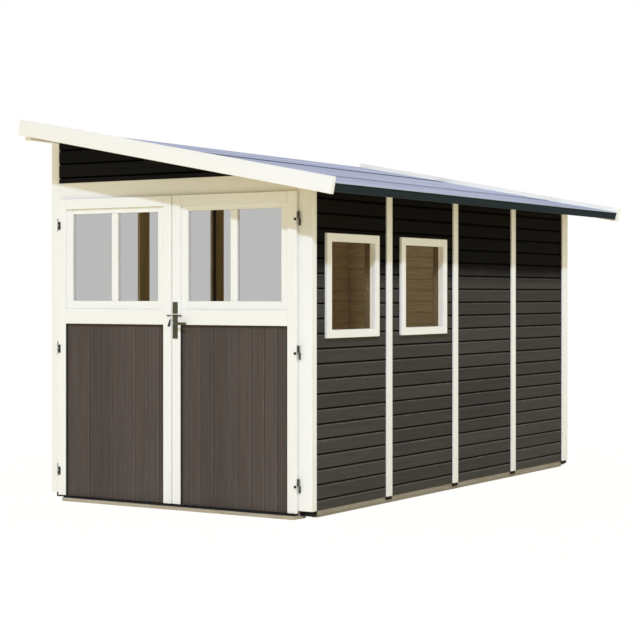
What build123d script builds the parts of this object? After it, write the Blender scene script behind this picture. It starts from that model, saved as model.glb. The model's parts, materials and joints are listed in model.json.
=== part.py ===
from build123d import *
import os
from math import cos, radians, sin, tan

# Lean-to garden shed with double doors, all lengths in millimetres.
# The front faces -Y, the low eave side is +X and the open side is -X.

# Doors
leaf_width = 901
leaf_height = 1888
leaf_bottom = 34
leaf_gap = 7
leaf_overlap = 20
leaf_clearance = 5
leaf_thickness = 22
stile_width = 62
top_rail_height = 65
lock_rail_share = 0.5805
lock_rail_height = 95
boards_recess = 15
boards_thickness = 19
sash_recess = 14
sash_depth = 25
sash_bar = 50
sash_top_bar = 32
pane_recess = 31
glass_thickness = 4

# Plan around the doors
doorway_left_margin = 78
doorway_right_margin = 95
bay_length = 902
bay_count = 4
first_bay_start = 15
rear_corner_extra = 42
front_overhang = 300
rear_overhang = 265
eave_overhang = 333

# Roof
roof_pitch_degrees = 10.88
eave_above_leaf = 51
verge_height = 100
verge_thickness = 25
verge_stand = 31
sheet_thickness = 6
sheet_drip = 6
deck_thickness = 19
fascia_height = 51
fascia_thickness = 18
fascia_setback = 21
purlin_width = 45
purlin_height = 60
high_purlin_height = 72

# Base
bearer_height = 16
bearer_width = 70
bearer_count = 9
bearer_inset = 70
rail_height = 32
rail_width = 85
rail_setback = 5
rail_front_setback = 28
rail_joint_gap = 0.5
floor_thickness = 19
floor_front_gap = 25
sill_height = 22
sill_depth = 50
sill_left_gap = 52

# Walls
cladding_thickness = 19
stud_depth = 45
stud_width = 45
strip_thickness = 12
strip_width = 68
rear_strip_width = 84
post_setback = 19
post_depth = 22
post_width = 96
rear_post_width = 260
jamb_depth = 52
left_jamb_top_width = 60
header_height = 125
gable_setback = 4

# Side windows
window_count = 2
window_margin = 141
window_height = 624
window_head_drop = 242
window_side_face = 54
window_level_face = 49
window_trim_thickness = 20
window_trim_lap = 20
window_glass_recess = 40
window_liner_depth = 60

# Hinges and lock
hinge_shares = (0.0853, 0.4984, 0.9142)
hinge_length = 82
hinge_gap = 1
knuckle_radius = 7
pin_radius = 4
pin_fit = 0.05
axis_out = 13
bracket_width = 8
plate_width = 39
plate_height = 223
plate_drop = 84
plate_thickness = 4
plate_edge_gap = 5
lever_rise = 92
lever_length = 110
lever_bar = 18
lever_bar_thickness = 10
lever_reach = 44
spindle_radius = 6
spindle_end_gap = 1

# One overrun for every cut
cut_overrun = 10

# Worked out from the driving sizes
pitch = radians(roof_pitch_degrees)
wall_width = doorway_left_margin + leaf_width + leaf_gap + leaf_width + doorway_right_margin
wall_length = first_bay_start + bay_count * bay_length + rear_corner_extra
roof_length = front_overhang + wall_length + rear_overhang
roof_width = wall_width + eave_overhang + verge_height * sin(pitch)
slope_length = (wall_width + eave_overhang) / cos(pitch)
eave_x = roof_width / 2
right_x = eave_x - eave_overhang
left_x = right_x - wall_width
front_y = front_overhang - roof_length / 2
rear_y = front_y + wall_length
clad_x = right_x - strip_thickness
clad_back_x = clad_x - cladding_thickness
stud_x = clad_back_x - stud_depth
rail_x = clad_x - rail_setback
rail_left_x = left_x + post_setback
rail_y = rear_y - rail_setback
rail_top = bearer_height + rail_height
rear_inner_y = rear_y - cladding_thickness
wall_middle_x = (left_x + clad_x) / 2
door_left = left_x + doorway_left_margin
door_right = right_x - doorway_right_margin
right_leaf_left = door_left + leaf_width + leaf_gap
jamb_left_inner = door_left + leaf_overlap
jamb_right_inner = door_right - leaf_overlap
jamb_back_y = front_y + jamb_depth
leaf_top = leaf_bottom + leaf_height
doorway_top = leaf_top - leaf_overlap
header_top = doorway_top + header_height
eave_top_height = leaf_top + eave_above_leaf
lock_rail_bottom = leaf_bottom + lock_rail_share * leaf_height
leaf_back_y = front_y - leaf_clearance
leaf_front_y = leaf_back_y - leaf_thickness
axis_y = front_y - axis_out
window_width = bay_length - 2 * window_margin
window_top = leaf_top - window_head_drop
window_bottom = window_top - window_height
plate_bottom = lock_rail_bottom - plate_drop
lever_height = plate_bottom + lever_rise
sheet_top = -verge_stand
deck_top = sheet_top - sheet_thickness
deck_bottom = deck_top - deck_thickness

os.makedirs("parts", exist_ok=True)


def block(x0, x1, y0, y1, z0, z1):
    """Give a box between two opposite corners."""
    centre = Pos((x0 + x1) / 2, (y0 + y1) / 2, (z0 + z1) / 2)
    return centre * Box(x1 - x0, y1 - y0, z1 - z0)


def upright_prism(outline, y0, y1):
    """Give a solid from an outline of (x, z) points, run along Y."""
    points = [(x, y0, z) for x, z in outline]
    face = Face(Wire.make_polygon(points, close=True))
    return extrude(face, amount=y1 - y0, dir=(0, 1, 0))


def roof_point(along, above):
    """Give (x, z) of a point up the slope from the eave end and square to the slope."""
    x = eave_x - along * cos(pitch) + above * sin(pitch)
    z = eave_top_height + along * sin(pitch) + above * cos(pitch)
    return x, z


def roof_slab(along0, along1, above0, above1, y0, y1):
    """Give a flat piece that lies on the slope of the roof."""
    corners = ((along0, above0), (along1, above0), (along1, above1), (along0, above1))
    return upright_prism([roof_point(along, above) for along, above in corners], y0, y1)


def soffit_z(x):
    """Give the height of the underside of the roof deck."""
    return eave_top_height + (eave_x - x) * tan(pitch) + deck_bottom / cos(pitch)


def under_roof(x0, x1, y0, y1, z0):
    """Give an upright piece whose top is cut to the slope of the roof."""
    outline = ((x0, z0), (x1, z0), (x1, soffit_z(x1)), (x0, soffit_z(x0)))
    return upright_prism(outline, y0, y1)


def upright_rod(x, y, radius, z0, z1):
    """Give an upright round bar."""
    return Pos(x, y, (z0 + z1) / 2) * Cylinder(radius, z1 - z0)


def rod_along_y(x, z, radius, y0, y1):
    """Give a round bar that runs front to back."""
    return Pos(x, (y0 + y1) / 2, z) * Rot(90, 0, 0) * Cylinder(radius, y1 - y0)


def save(name, *solids):
    """Write one named piece."""
    shape = Compound(children=list(solids)) if len(solids) > 1 else solids[0]
    export_step(shape, f"parts/{name}.step")


def bay_line(index):
    """Give the Y of a line between two bays."""
    return front_y + first_bay_start + index * bay_length


def high_purlin_bottom():
    """Give the height on which the high purlin rests."""
    return soffit_z(rail_left_x) - high_purlin_height


def build_base():
    """Cross bearers, base frame on three sides, floor and door sill."""
    first = front_y
    last = rail_y - bearer_inset - bearer_width
    step = (last - first) / (bearer_count - 1)
    bearers = []
    for index in range(bearer_count):
        y0 = first + index * step
        bearers.append(block(rail_left_x + bearer_inset, rail_x - bearer_inset, y0, y0 + bearer_width,
                             0, bearer_height))
    save("floor_bearers", *bearers)

    rail_front_y = front_y + rail_front_setback
    floor_x0 = rail_left_x + rail_width
    floor_x1 = rail_x - rail_width
    floor_y1 = rail_y - rail_width
    right_rail = block(floor_x1, rail_x, rail_front_y, rail_y, bearer_height, rail_top)
    left_rail = block(rail_left_x, floor_x0, rail_front_y, rail_y, bearer_height, rail_top)
    rear_rail = block(floor_x0 + rail_joint_gap, floor_x1 - rail_joint_gap, floor_y1, rail_y,
                      bearer_height, rail_top)
    save("base_frame", right_rail, left_rail, rear_rail)

    save("floor_deck", block(floor_x0, floor_x1, front_y + floor_front_gap, floor_y1,
                             bearer_height, bearer_height + floor_thickness))
    save("door_sill", block(door_left + sill_left_gap, door_right, front_y - sill_depth, front_y,
                            0, sill_height))


def window_span(index):
    """Give the Y range of one side window, centred in its bay."""
    return bay_line(index) + window_margin, bay_line(index + 1) - window_margin


def build_right_wall():
    """Cladding in bays, studs, wall plate and cover strips of the low side."""
    lap = window_trim_lap
    for index in range(bay_count):
        y0 = bay_line(index) if index else jamb_back_y
        y1 = bay_line(index + 1) if index < bay_count - 1 else rear_y
        panel = under_roof(clad_back_x, clad_x, y0, y1, rail_top)
        if index < window_count:
            w0, w1 = window_span(index)
            panel -= block(clad_back_x - cut_overrun, clad_x + cut_overrun, w0 + lap, w1 - lap,
                           window_bottom + lap, window_top - lap)
        save(f"right_panel_{index + 1}", panel)

    plate_z = soffit_z(clad_back_x) - purlin_height
    save("low_wall_plate", under_roof(stud_x, clad_back_x, jamb_back_y, rear_inner_y, plate_z))

    spans = [(jamb_back_y, jamb_back_y + stud_width)]
    spans += [(bay_line(i) - stud_width, bay_line(i) + stud_width) for i in range(1, bay_count)]
    spans.append((rear_inner_y - stud_width, rear_inner_y))
    studs = [block(stud_x, clad_back_x, y0, y1, rail_top, plate_z) for y0, y1 in spans]
    rear_stud_top = soffit_z(wall_middle_x) - purlin_height
    studs.append(block(wall_middle_x - stud_width, wall_middle_x + stud_width, rear_inner_y - stud_depth,
                       rear_inner_y, rail_top, rear_stud_top))
    save("wall_studs", *studs)

    half = strip_width / 2
    spans = [(bay_line(i) - half, bay_line(i) + half) for i in range(1, bay_count)]
    spans.append((rear_y - rear_strip_width, rear_y))
    strips = [under_roof(clad_x, right_x, y0, y1, rail_top) for y0, y1 in spans]
    save("right_cover_strips", *strips)


def build_windows():
    """Fixed side windows: a proud trim ring with its liner, and a recessed pane."""
    lap = window_trim_lap
    trim_x = clad_x + window_trim_thickness
    liner_x = clad_x - window_liner_depth
    z0 = window_bottom
    z1 = window_top
    panes = []
    for index in range(window_count):
        y0, y1 = window_span(index)
        frame = block(clad_x, trim_x, y0, y1, z0, z1)
        frame += block(liner_x, clad_x, y0 + lap, y1 - lap, z0 + lap, z1 - lap)
        light = (y0 + window_side_face, y1 - window_side_face, z0 + window_level_face, z1 - window_level_face)
        frame -= block(liner_x - cut_overrun, trim_x + cut_overrun, *light)
        save(f"window_{index + 1}_frame", frame)
        glass_x = trim_x - window_glass_recess
        panes.append(block(glass_x - glass_thickness, glass_x, *light))
    save("window_panes", *panes)


def purlin_solids():
    """Give the high and middle purlins that carry both roof overhangs."""
    y0 = verge_thickness - roof_length / 2
    y1 = roof_length / 2 - verge_thickness
    half = purlin_width / 2
    high = under_roof(rail_left_x, rail_left_x + purlin_width, y0, y1, high_purlin_bottom())
    middle_bottom = soffit_z(wall_middle_x) - purlin_height
    middle = under_roof(wall_middle_x - half, wall_middle_x + half, y0, y1, middle_bottom)
    return high, middle


def build_front_wall():
    """Jambs, header and boarded gable over the doors."""
    high_z = high_purlin_bottom()
    top_x = left_x + left_jamb_top_width
    left_outline = ((left_x, rail_top), (jamb_left_inner, rail_top), (jamb_left_inner, doorway_top),
                    (top_x, doorway_top), (top_x, high_z), (left_x, high_z))
    save("front_left_jamb", upright_prism(left_outline, front_y, jamb_back_y))
    save("front_right_jamb", under_roof(jamb_right_inner, right_x, front_y, jamb_back_y, rail_top))

    meet_x = eave_x + (eave_top_height + deck_bottom / cos(pitch) - header_top) / tan(pitch)
    header_outline = ((top_x, doorway_top), (jamb_right_inner, doorway_top),
                      (jamb_right_inner, soffit_z(jamb_right_inner)),
                      (meet_x, header_top), (top_x, header_top))
    save("front_header", upright_prism(header_outline, front_y, jamb_back_y))

    gable_outline = ((top_x, header_top), (meet_x, header_top), (top_x, soffit_z(top_x)))
    gable_y = front_y + gable_setback
    gable = upright_prism(gable_outline, gable_y, gable_y + cladding_thickness)
    for purlin in purlin_solids():
        gable -= purlin
    save("front_gable_panel", gable)


def build_rear_wall():
    """Boarded rear wall with its cover strips."""
    panel = under_roof(left_x, clad_back_x, rear_inner_y, rear_y, rail_top)
    for purlin in purlin_solids():
        panel -= purlin
    save("rear_panel", panel)

    half = strip_width / 2
    y1 = rear_y + strip_thickness
    middle_top = soffit_z(wall_middle_x) - purlin_height
    strips = [block(left_x, left_x + strip_width, rear_y, y1, rail_top, high_purlin_bottom())]
    strips.append(block(wall_middle_x - half, wall_middle_x + half, rear_y, y1, rail_top, middle_top))
    strips.append(under_roof(right_x - strip_width, right_x, rear_y, y1, rail_top))
    save("rear_cover_strips", *strips)


def build_left_side():
    """Free posts of the open side, one at each bay line and one at the rear corner."""
    x0 = rail_left_x
    x1 = x0 + post_depth
    half = post_width / 2
    high_z = high_purlin_bottom()
    for index in range(1, bay_count):
        centre = bay_line(index)
        save(f"left_post_{index}", block(x0, x1, centre - half, centre + half, rail_top, high_z))
    save("left_rear_post", block(x0, x1, rear_inner_y - rear_post_width, rear_inner_y, rail_top, high_z))


def build_roof():
    """Purlins, deck, cover sheet, eave fascia and verge boards."""
    high, middle = purlin_solids()
    save("high_purlin", high)
    save("middle_purlin", middle)
    y0 = -roof_length / 2
    y1 = roof_length / 2
    inner0 = y0 + verge_thickness
    inner1 = y1 - verge_thickness
    fascia_back = fascia_setback + fascia_thickness
    save("roof_deck", roof_slab(fascia_back, slope_length, deck_bottom, deck_top, inner0, inner1))
    save("roof_sheet", roof_slab(fascia_setback - sheet_drip, slope_length, deck_top, sheet_top,
                                 inner0, inner1))
    save("eave_fascia", roof_slab(fascia_setback, fascia_back, deck_top - fascia_height, deck_top,
                                  inner0, inner1))
    save("front_verge_board", roof_slab(0, slope_length, -verge_height, 0, y0, inner0))
    save("rear_verge_board", roof_slab(0, slope_length, -verge_height, 0, inner1, y1))


def build_leaf(name, x0):
    """One door leaf: frame, lower boards, recessed sash and its two panes."""
    x1 = x0 + leaf_width
    in0 = x0 + stile_width
    in1 = x1 - stile_width
    lock_rail_top = lock_rail_bottom + lock_rail_height
    head = leaf_top - top_rail_height
    frame = block(x0, x1, leaf_front_y, leaf_back_y, leaf_bottom, leaf_top)
    cut0 = leaf_front_y - cut_overrun
    cut1 = leaf_back_y + cut_overrun
    frame -= block(in0, in1, cut0, cut1, leaf_bottom - cut_overrun, lock_rail_bottom)
    frame -= block(in0, in1, cut0, cut1, lock_rail_top, head)
    save(f"{name}_frame", frame)

    boards_y = leaf_front_y + boards_recess
    save(f"{name}_boards", block(in0, in1, boards_y, boards_y + boards_thickness,
                                 leaf_bottom, lock_rail_bottom))

    sash_y = leaf_front_y + sash_recess
    sash = block(in0, in1, sash_y, sash_y + sash_depth, lock_rail_top, head)
    pane_width = (in1 - in0 - 3 * sash_bar) / 2
    pane_z0 = lock_rail_top + sash_bar
    pane_z1 = head - sash_top_bar
    pane_y = leaf_front_y + pane_recess
    panes = []
    for index in range(2):
        left = in0 + sash_bar + index * (pane_width + sash_bar)
        sash -= block(left, left + pane_width, sash_y - cut_overrun, sash_y + sash_depth + cut_overrun,
                      pane_z0, pane_z1)
        panes.append(block(left, left + pane_width, pane_y, pane_y + glass_thickness, pane_z0, pane_z1))
    save(f"{name}_sash", sash)
    save(f"{name}_panes", *panes)


def build_hinges():
    """Three barrel hinges a leaf: a pin with the lower knuckle on the jamb, the upper knuckle on the leaf."""
    pins = []
    half = bracket_width / 2
    sides = (("left_leaf", door_left, -1), ("right_leaf", door_right, 1))
    for name, edge_x, side in sides:
        axis_x = edge_x + side * axis_out
        knuckles = []
        for share in hinge_shares:
            middle = leaf_bottom + share * leaf_height
            bottom = middle - hinge_length / 2
            top = middle + hinge_length / 2
            lower_top = middle - hinge_gap / 2
            upper_bottom = middle + hinge_gap / 2
            pin = upright_rod(axis_x, axis_y, pin_radius, bottom, top)
            pin += upright_rod(axis_x, axis_y, knuckle_radius, bottom, lower_top)
            pin += block(axis_x - half, axis_x + half, axis_y, front_y, bottom, lower_top)
            pins.append(pin)
            near = min(axis_x, edge_x)
            far = max(axis_x, edge_x)
            knuckle = upright_rod(axis_x, axis_y, knuckle_radius, upper_bottom, top)
            knuckle += block(near, far, axis_y - half, axis_y + half, upper_bottom, top)
            knuckle -= upright_rod(axis_x, axis_y, pin_radius + pin_fit,
                                   upper_bottom - cut_overrun, top + cut_overrun)
            knuckles.append(knuckle)
        save(f"{name}_hinges", *knuckles)
    save("hinge_pins", *pins)


def build_lock():
    """Long lock plate on the meeting stile of the right leaf, with its lever."""
    plate_x = right_leaf_left + plate_edge_gap
    pivot_x = plate_x + plate_width / 2
    plate_y = leaf_front_y - plate_thickness
    plate = block(plate_x, plate_x + plate_width, plate_y, leaf_front_y,
                  plate_bottom, plate_bottom + plate_height)
    plate -= rod_along_y(pivot_x, lever_height, spindle_radius + pin_fit, plate_y - cut_overrun,
                         leaf_front_y + cut_overrun)
    save("lock_plate", plate)

    bar_y = plate_y - lever_reach
    lever = rod_along_y(pivot_x, lever_height, spindle_radius, bar_y, leaf_front_y - spindle_end_gap)
    half = lever_bar / 2
    lever += block(pivot_x - half, pivot_x + lever_length, bar_y, bar_y + lever_bar_thickness,
                   lever_height - half, lever_height + half)
    save("lever", lever)


build_base()
build_right_wall()
build_windows()
build_front_wall()
build_rear_wall()
build_left_side()
build_roof()
build_leaf("left_leaf", door_left)
build_leaf("right_leaf", right_leaf_left)
build_hinges()
build_lock()
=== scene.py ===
"""Looks of a lean-to garden shed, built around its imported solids.

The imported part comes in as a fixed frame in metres.  Each sub-assembly below is a class that
lays its boards, eases its timbers and dresses them; each finish is a small class of its own.
"""

from __future__ import annotations

import json
import logging
import math
import random
from dataclasses import dataclass
from enum import Enum
from typing import Sequence

import bmesh
import bpy
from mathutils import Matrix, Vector

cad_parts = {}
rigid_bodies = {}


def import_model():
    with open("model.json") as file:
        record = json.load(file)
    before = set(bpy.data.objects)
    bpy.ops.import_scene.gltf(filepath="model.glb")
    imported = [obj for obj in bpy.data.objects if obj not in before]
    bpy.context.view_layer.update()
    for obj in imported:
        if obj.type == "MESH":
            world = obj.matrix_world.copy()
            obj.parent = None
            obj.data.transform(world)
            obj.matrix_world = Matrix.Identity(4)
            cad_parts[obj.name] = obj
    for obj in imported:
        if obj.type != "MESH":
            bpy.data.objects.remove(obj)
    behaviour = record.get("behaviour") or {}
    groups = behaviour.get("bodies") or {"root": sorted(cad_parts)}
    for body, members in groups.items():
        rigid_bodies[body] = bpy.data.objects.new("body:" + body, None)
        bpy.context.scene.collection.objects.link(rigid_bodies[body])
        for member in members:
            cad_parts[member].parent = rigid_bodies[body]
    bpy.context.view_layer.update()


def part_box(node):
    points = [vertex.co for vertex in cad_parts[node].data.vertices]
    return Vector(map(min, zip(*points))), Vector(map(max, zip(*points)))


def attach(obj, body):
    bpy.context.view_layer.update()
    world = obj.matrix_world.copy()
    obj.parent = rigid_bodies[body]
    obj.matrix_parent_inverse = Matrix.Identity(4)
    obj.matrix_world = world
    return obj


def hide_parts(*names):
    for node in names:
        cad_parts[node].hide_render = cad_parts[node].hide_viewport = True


Tree = bpy.types.NodeTree
Node = bpy.types.Node
Socket = bpy.types.NodeSocket
Material = bpy.types.Material
Mesh = bpy.types.Mesh
Piece = bpy.types.Object
Solid = bmesh.types.BMesh
Triple = tuple[float, float, float]

LOG = logging.getLogger("garden_shed")
TONE = "tone"
ROW_TONE = "row_tone"
EDGE = "edge"
GRAIN_SLOT = "grain_slot"
GEOMETRY = {"Geometry": "NodeSocketGeometry"}
PANE_REBATE = 0.004
PANE_EASE = 0.0004
HINGE_RADIUS = 0.007
BARREL_SHARE = 0.52
SMALL_EASE = 0.0015
IRON_EASE = 0.0008
ROOF_PITCH = math.radians(10.88)
EAVE_X = 1.16694
FELT_LAPS = (0.60, 1.55)
AXIS_X = Vector((1.0, 0.0, 0.0))
AXIS_Y = Vector((0.0, 1.0, 0.0))
AXIS_Z = Vector((0.0, 0.0, 1.0))


class Body(Enum):
    """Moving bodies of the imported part."""

    SHED = "shed"
    LEFT_DOOR = "left_door"
    RIGHT_DOOR = "right_door"
    LEVER = "lever_body"


class Slot(Enum):
    """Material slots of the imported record."""

    WHITE = "white_paint"
    STAIN = "dark_stain"
    BARE = "bare_timber"
    ROOF = "roof_cover"
    GLASS = "clear_glass"
    IRON = "dark_iron"


class Grain(Enum):
    """Direction that the grain of a timber runs in."""

    X = 0
    Y = 1
    Z = 2


GRAIN_TURN = {
    Grain.X: (0.0, 0.0, 0.0),
    Grain.Y: (0.0, 0.0, -math.pi / 2),
    Grain.Z: (0.0, math.pi / 2, 0.0),
}


def join(tree: Tree, source: Socket, target: Socket) -> None:
    """Link two sockets of one tree."""
    tree.links.new(source, target)


def feed(tree: Tree, target: Socket, value: object) -> None:
    """Link an input to a socket, or set it to a plain value.

    Args:
        tree: Node tree that holds the input.
        target: The input.
        value: Socket or plain value.
    """
    if isinstance(value, Socket):
        join(tree, value, target)
    else:
        target.default_value = value


def add_node(tree: Tree, kind: str, feeds: dict | None = None, **settings: object) -> Node:
    """Add a node, set its properties and feed its inputs.

    Args:
        tree: Node tree that takes the node.
        kind: Blender's type name of the node.
        feeds: Sockets or plain values for its inputs, by name or index.
        **settings: Properties to set on it.

    Returns:
        The new node.
    """
    node = tree.nodes.new(kind)
    for key, value in settings.items():
        setattr(node, key, value)
    for key, value in (feeds or {}).items():
        feed(tree, node.inputs[key], value)
    return node


def start_group(label: str, kind: str, takes: dict[str, str],
                gives: dict[str, str]) -> tuple[Tree, Node, Node]:
    """Start a node group with its sockets.

    Args:
        label: Name of the group.
        kind: Blender's type name of its tree.
        takes: Types of its inputs, by name.
        gives: Types of its outputs, by name.

    Returns:
        The tree, with its input and output nodes.
    """
    tree = bpy.data.node_groups.new(label, kind)
    for way, sockets in (("INPUT", takes), ("OUTPUT", gives)):
        for name, socket_type in sockets.items():
            tree.interface.new_socket(name=name, in_out=way, socket_type=socket_type)
    return tree, add_node(tree, "NodeGroupInput"), add_node(tree, "NodeGroupOutput")


def math_node(tree: Tree, operation: str, first: object, second: object = None,
              clamp: bool = False) -> Socket:
    """Add a Math node fed by sockets or plain numbers.

    Args:
        tree: Node tree that takes the node.
        operation: Math operation.
        first: Socket or number for the first input.
        second: Socket or number for the second input.
        clamp: Keep the result between 0 and 1.

    Returns:
        The node's output.
    """
    feeds = {0: first} if second is None else {0: first, 1: second}
    return add_node(tree, "ShaderNodeMath", feeds, operation=operation,
                    use_clamp=clamp).outputs[0]


def mix_colour(tree: Tree, factor: Socket, first: object, second: object) -> Socket:
    """Mix two colours by a factor that changes over the surface.

    Args:
        tree: Node tree that takes the node.
        factor: Share of the second colour.
        first: Socket or colour.
        second: Socket or colour.

    Returns:
        The mixed colour.
    """
    feeds = {0: factor}
    for index, value in ((6, first), (7, second)):
        feeds[index] = value if isinstance(value, Socket) else (*value, 1.0)
    return add_node(tree, "ShaderNodeMix", feeds, data_type="RGBA").outputs[2]


def scale_colour(tree: Tree, colour: Socket, level: Socket) -> Socket:
    """Scale a colour by a level that changes over the surface."""
    feeds = {0: colour, "Scale": level}
    return add_node(tree, "ShaderNodeVectorMath", feeds, operation="SCALE").outputs[0]


def spread(tree: Tree, value: Socket, low: float, high: float, to_low: float = 0.0,
           to_high: float = 1.0) -> Socket:
    """Map a value from one range to another, held at both ends.

    Args:
        tree: Node tree that takes the node.
        value: Value to map.
        low: Start of its range.
        high: End of its range.
        to_low: What the start becomes.
        to_high: What the end becomes.

    Returns:
        The mapped value.
    """
    feeds = dict(enumerate((value, low, high, to_low, to_high)))
    return add_node(tree, "ShaderNodeMapRange", feeds, clamp=True).outputs[0]


def axes_of(tree: Tree, place: Socket) -> bpy.types.NodeOutputs:
    """Part coordinates into X, Y and Z."""
    return add_node(tree, "ShaderNodeSeparateXYZ", {0: place}).outputs


def stretched_noise(tree: Tree, place: Socket, scale: Sequence[float], detail: float = 3.0,
                    roughness: float = 0.55) -> Socket:
    """Noise with its own scale along each axis.

    Args:
        tree: Node tree that takes the nodes.
        place: Coordinates in metres.
        scale: Cells a metre along each axis.
        detail: Octaves.
        roughness: Strength of the finer octaves.

    Returns:
        The noise value, about 0.5 in the middle.
    """
    mapped = add_node(tree, "ShaderNodeMapping", {"Scale": scale, "Vector": place}).outputs[0]
    feeds = {"Vector": mapped, "Scale": 1.0, "Detail": detail, "Roughness": roughness}
    return add_node(tree, "ShaderNodeTexNoise", feeds).outputs[0]


class ShaderGroup:
    """A shared effect, built once as a shader node group."""

    label = ""
    takes: dict[str, str] = {}
    gives: dict[str, str] = {}

    @classmethod
    def tree(cls) -> Tree:
        """Give the node group, building it on first use.

        Returns:
            The group's node tree.
        """
        found = bpy.data.node_groups.get(cls.label)
        if found:
            return found
        tree, source, sink = start_group(cls.label, "ShaderNodeTree", cls.takes, cls.gives)
        cls.wire(tree, source, sink)
        return tree

    @classmethod
    def wire(cls, tree: Tree, source: Node, sink: Node) -> None:
        """Fill the group with its nodes."""
        raise NotImplementedError

    @classmethod
    def place(cls, material_tree: Tree, **values: object) -> Node:
        """Put the group in a material, with sockets or plain values for its inputs."""
        return add_node(material_tree, "ShaderNodeGroup", values, node_tree=cls.tree())


class TimberGrain(ShaderGroup):
    """Streaks, pores and growth rings of sawn softwood, with the grain along X."""

    label = "timber grain"
    takes = {"Place": "NodeSocketVector", "Tone": "NodeSocketFloat"}
    gives = {"Streak": "NodeSocketFloat", "Pore": "NodeSocketFloat",
             "Ring": "NodeSocketFloat", "Height": "NodeSocketFloat"}
    board_shift = (17.3, 9.1, 5.7)

    @classmethod
    def wire(cls, tree: Tree, source: Node, sink: Node) -> None:
        """Lay streaks, pores and rings, shifted from one board to the next by its tone."""
        shift = add_node(tree, "ShaderNodeVectorMath",
                         {0: cls.board_shift, "Scale": source.outputs["Tone"]},
                         operation="SCALE").outputs[0]
        place = add_node(tree, "ShaderNodeVectorMath", {0: source.outputs["Place"], 1: shift},
                         operation="ADD").outputs[0]
        streak = stretched_noise(tree, place, (2.2, 55.0, 55.0), 4.0, 0.62)
        pore = stretched_noise(tree, place, (14.0, 420.0, 420.0), 2.0, 0.6)
        bend = stretched_noise(tree, place, (1.1, 9.0, 9.0), 2.0, 0.5)
        rings = math_node(tree, "SINE", math_node(tree, "MULTIPLY", bend, 58.0))
        ring = spread(tree, rings, -1.0, 1.0)
        height = math_node(tree, "ADD", math_node(tree, "MULTIPLY", pore, 0.55),
                           math_node(tree, "MULTIPLY", streak, 0.45))
        for name, value in (("Streak", streak), ("Pore", pore), ("Ring", ring),
                            ("Height", height)):
            join(tree, value, sink.inputs[name])


class EdgeWear(ShaderGroup):
    """Mask of the raised edges that handling and weather rub first; on boards it also holds the
    upper chamfer, where it paints a highlight.
    """

    label = "edge wear"
    takes = {"Place": "NodeSocketVector", "Amount": "NodeSocketFloat",
             "Even": "NodeSocketFloat"}
    gives = {"Mask": "NodeSocketFloat"}

    @classmethod
    def wire(cls, tree: Tree, source: Node, sink: Node) -> None:
        """Break the eased edges up with a patchy noise, down to an even share."""
        edge = add_node(tree, "ShaderNodeAttribute", attribute_name=EDGE).outputs["Fac"]
        patch = spread(tree, stretched_noise(tree, source.outputs["Place"], (9.0, 9.0, 9.0),
                                             4.0, 0.6), 0.42, 0.62)
        patch = math_node(tree, "MAXIMUM", patch, source.outputs["Even"])
        mask = math_node(tree, "MULTIPLY", edge, patch)
        join(tree, math_node(tree, "MULTIPLY", mask, source.outputs["Amount"], clamp=True),
             sink.inputs["Mask"])


class JointShade(ShaderGroup):
    """Level of the stain or timber, low inside the joints between boards: painted shade in the
    grooves and on each board's lower chamfer.
    """

    label = "joint shade"
    takes = {"Depth": "NodeSocketFloat"}
    gives = {"Level": "NodeSocketFloat"}

    @classmethod
    def wire(cls, tree: Tree, source: Node, sink: Node) -> None:
        """Read the edge value, which is below zero in a joint."""
        edge = add_node(tree, "ShaderNodeAttribute", attribute_name=EDGE).outputs["Fac"]
        share = spread(tree, edge, -1.0, 0.0, 1.0, 0.0)
        lost = math_node(tree, "MULTIPLY", share, source.outputs["Depth"])
        join(tree, math_node(tree, "SUBTRACT", 1.0, lost), sink.inputs["Level"])


class GroundDust(ShaderGroup):
    """Mask of the dust and splash that gathers near the ground."""

    label = "ground dust"
    takes = {"Place": "NodeSocketVector", "Reach": "NodeSocketFloat",
             "Amount": "NodeSocketFloat"}
    gives = {"Mask": "NodeSocketFloat"}

    @classmethod
    def wire(cls, tree: Tree, source: Node, sink: Node) -> None:
        """Fade the dust out with height and break it up."""
        height = axes_of(tree, source.outputs["Place"])[2]
        share = math_node(tree, "DIVIDE", height, source.outputs["Reach"])
        fade = spread(tree, share, 0.0, 1.0, 1.0, 0.0)
        patch = spread(tree, stretched_noise(tree, source.outputs["Place"], (7.0, 7.0, 12.0),
                                             5.0, 0.6), 0.3, 0.75)
        mask = math_node(tree, "MULTIPLY", fade, patch)
        join(tree, math_node(tree, "MULTIPLY", mask, source.outputs["Amount"], clamp=True),
             sink.inputs["Mask"])


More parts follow.
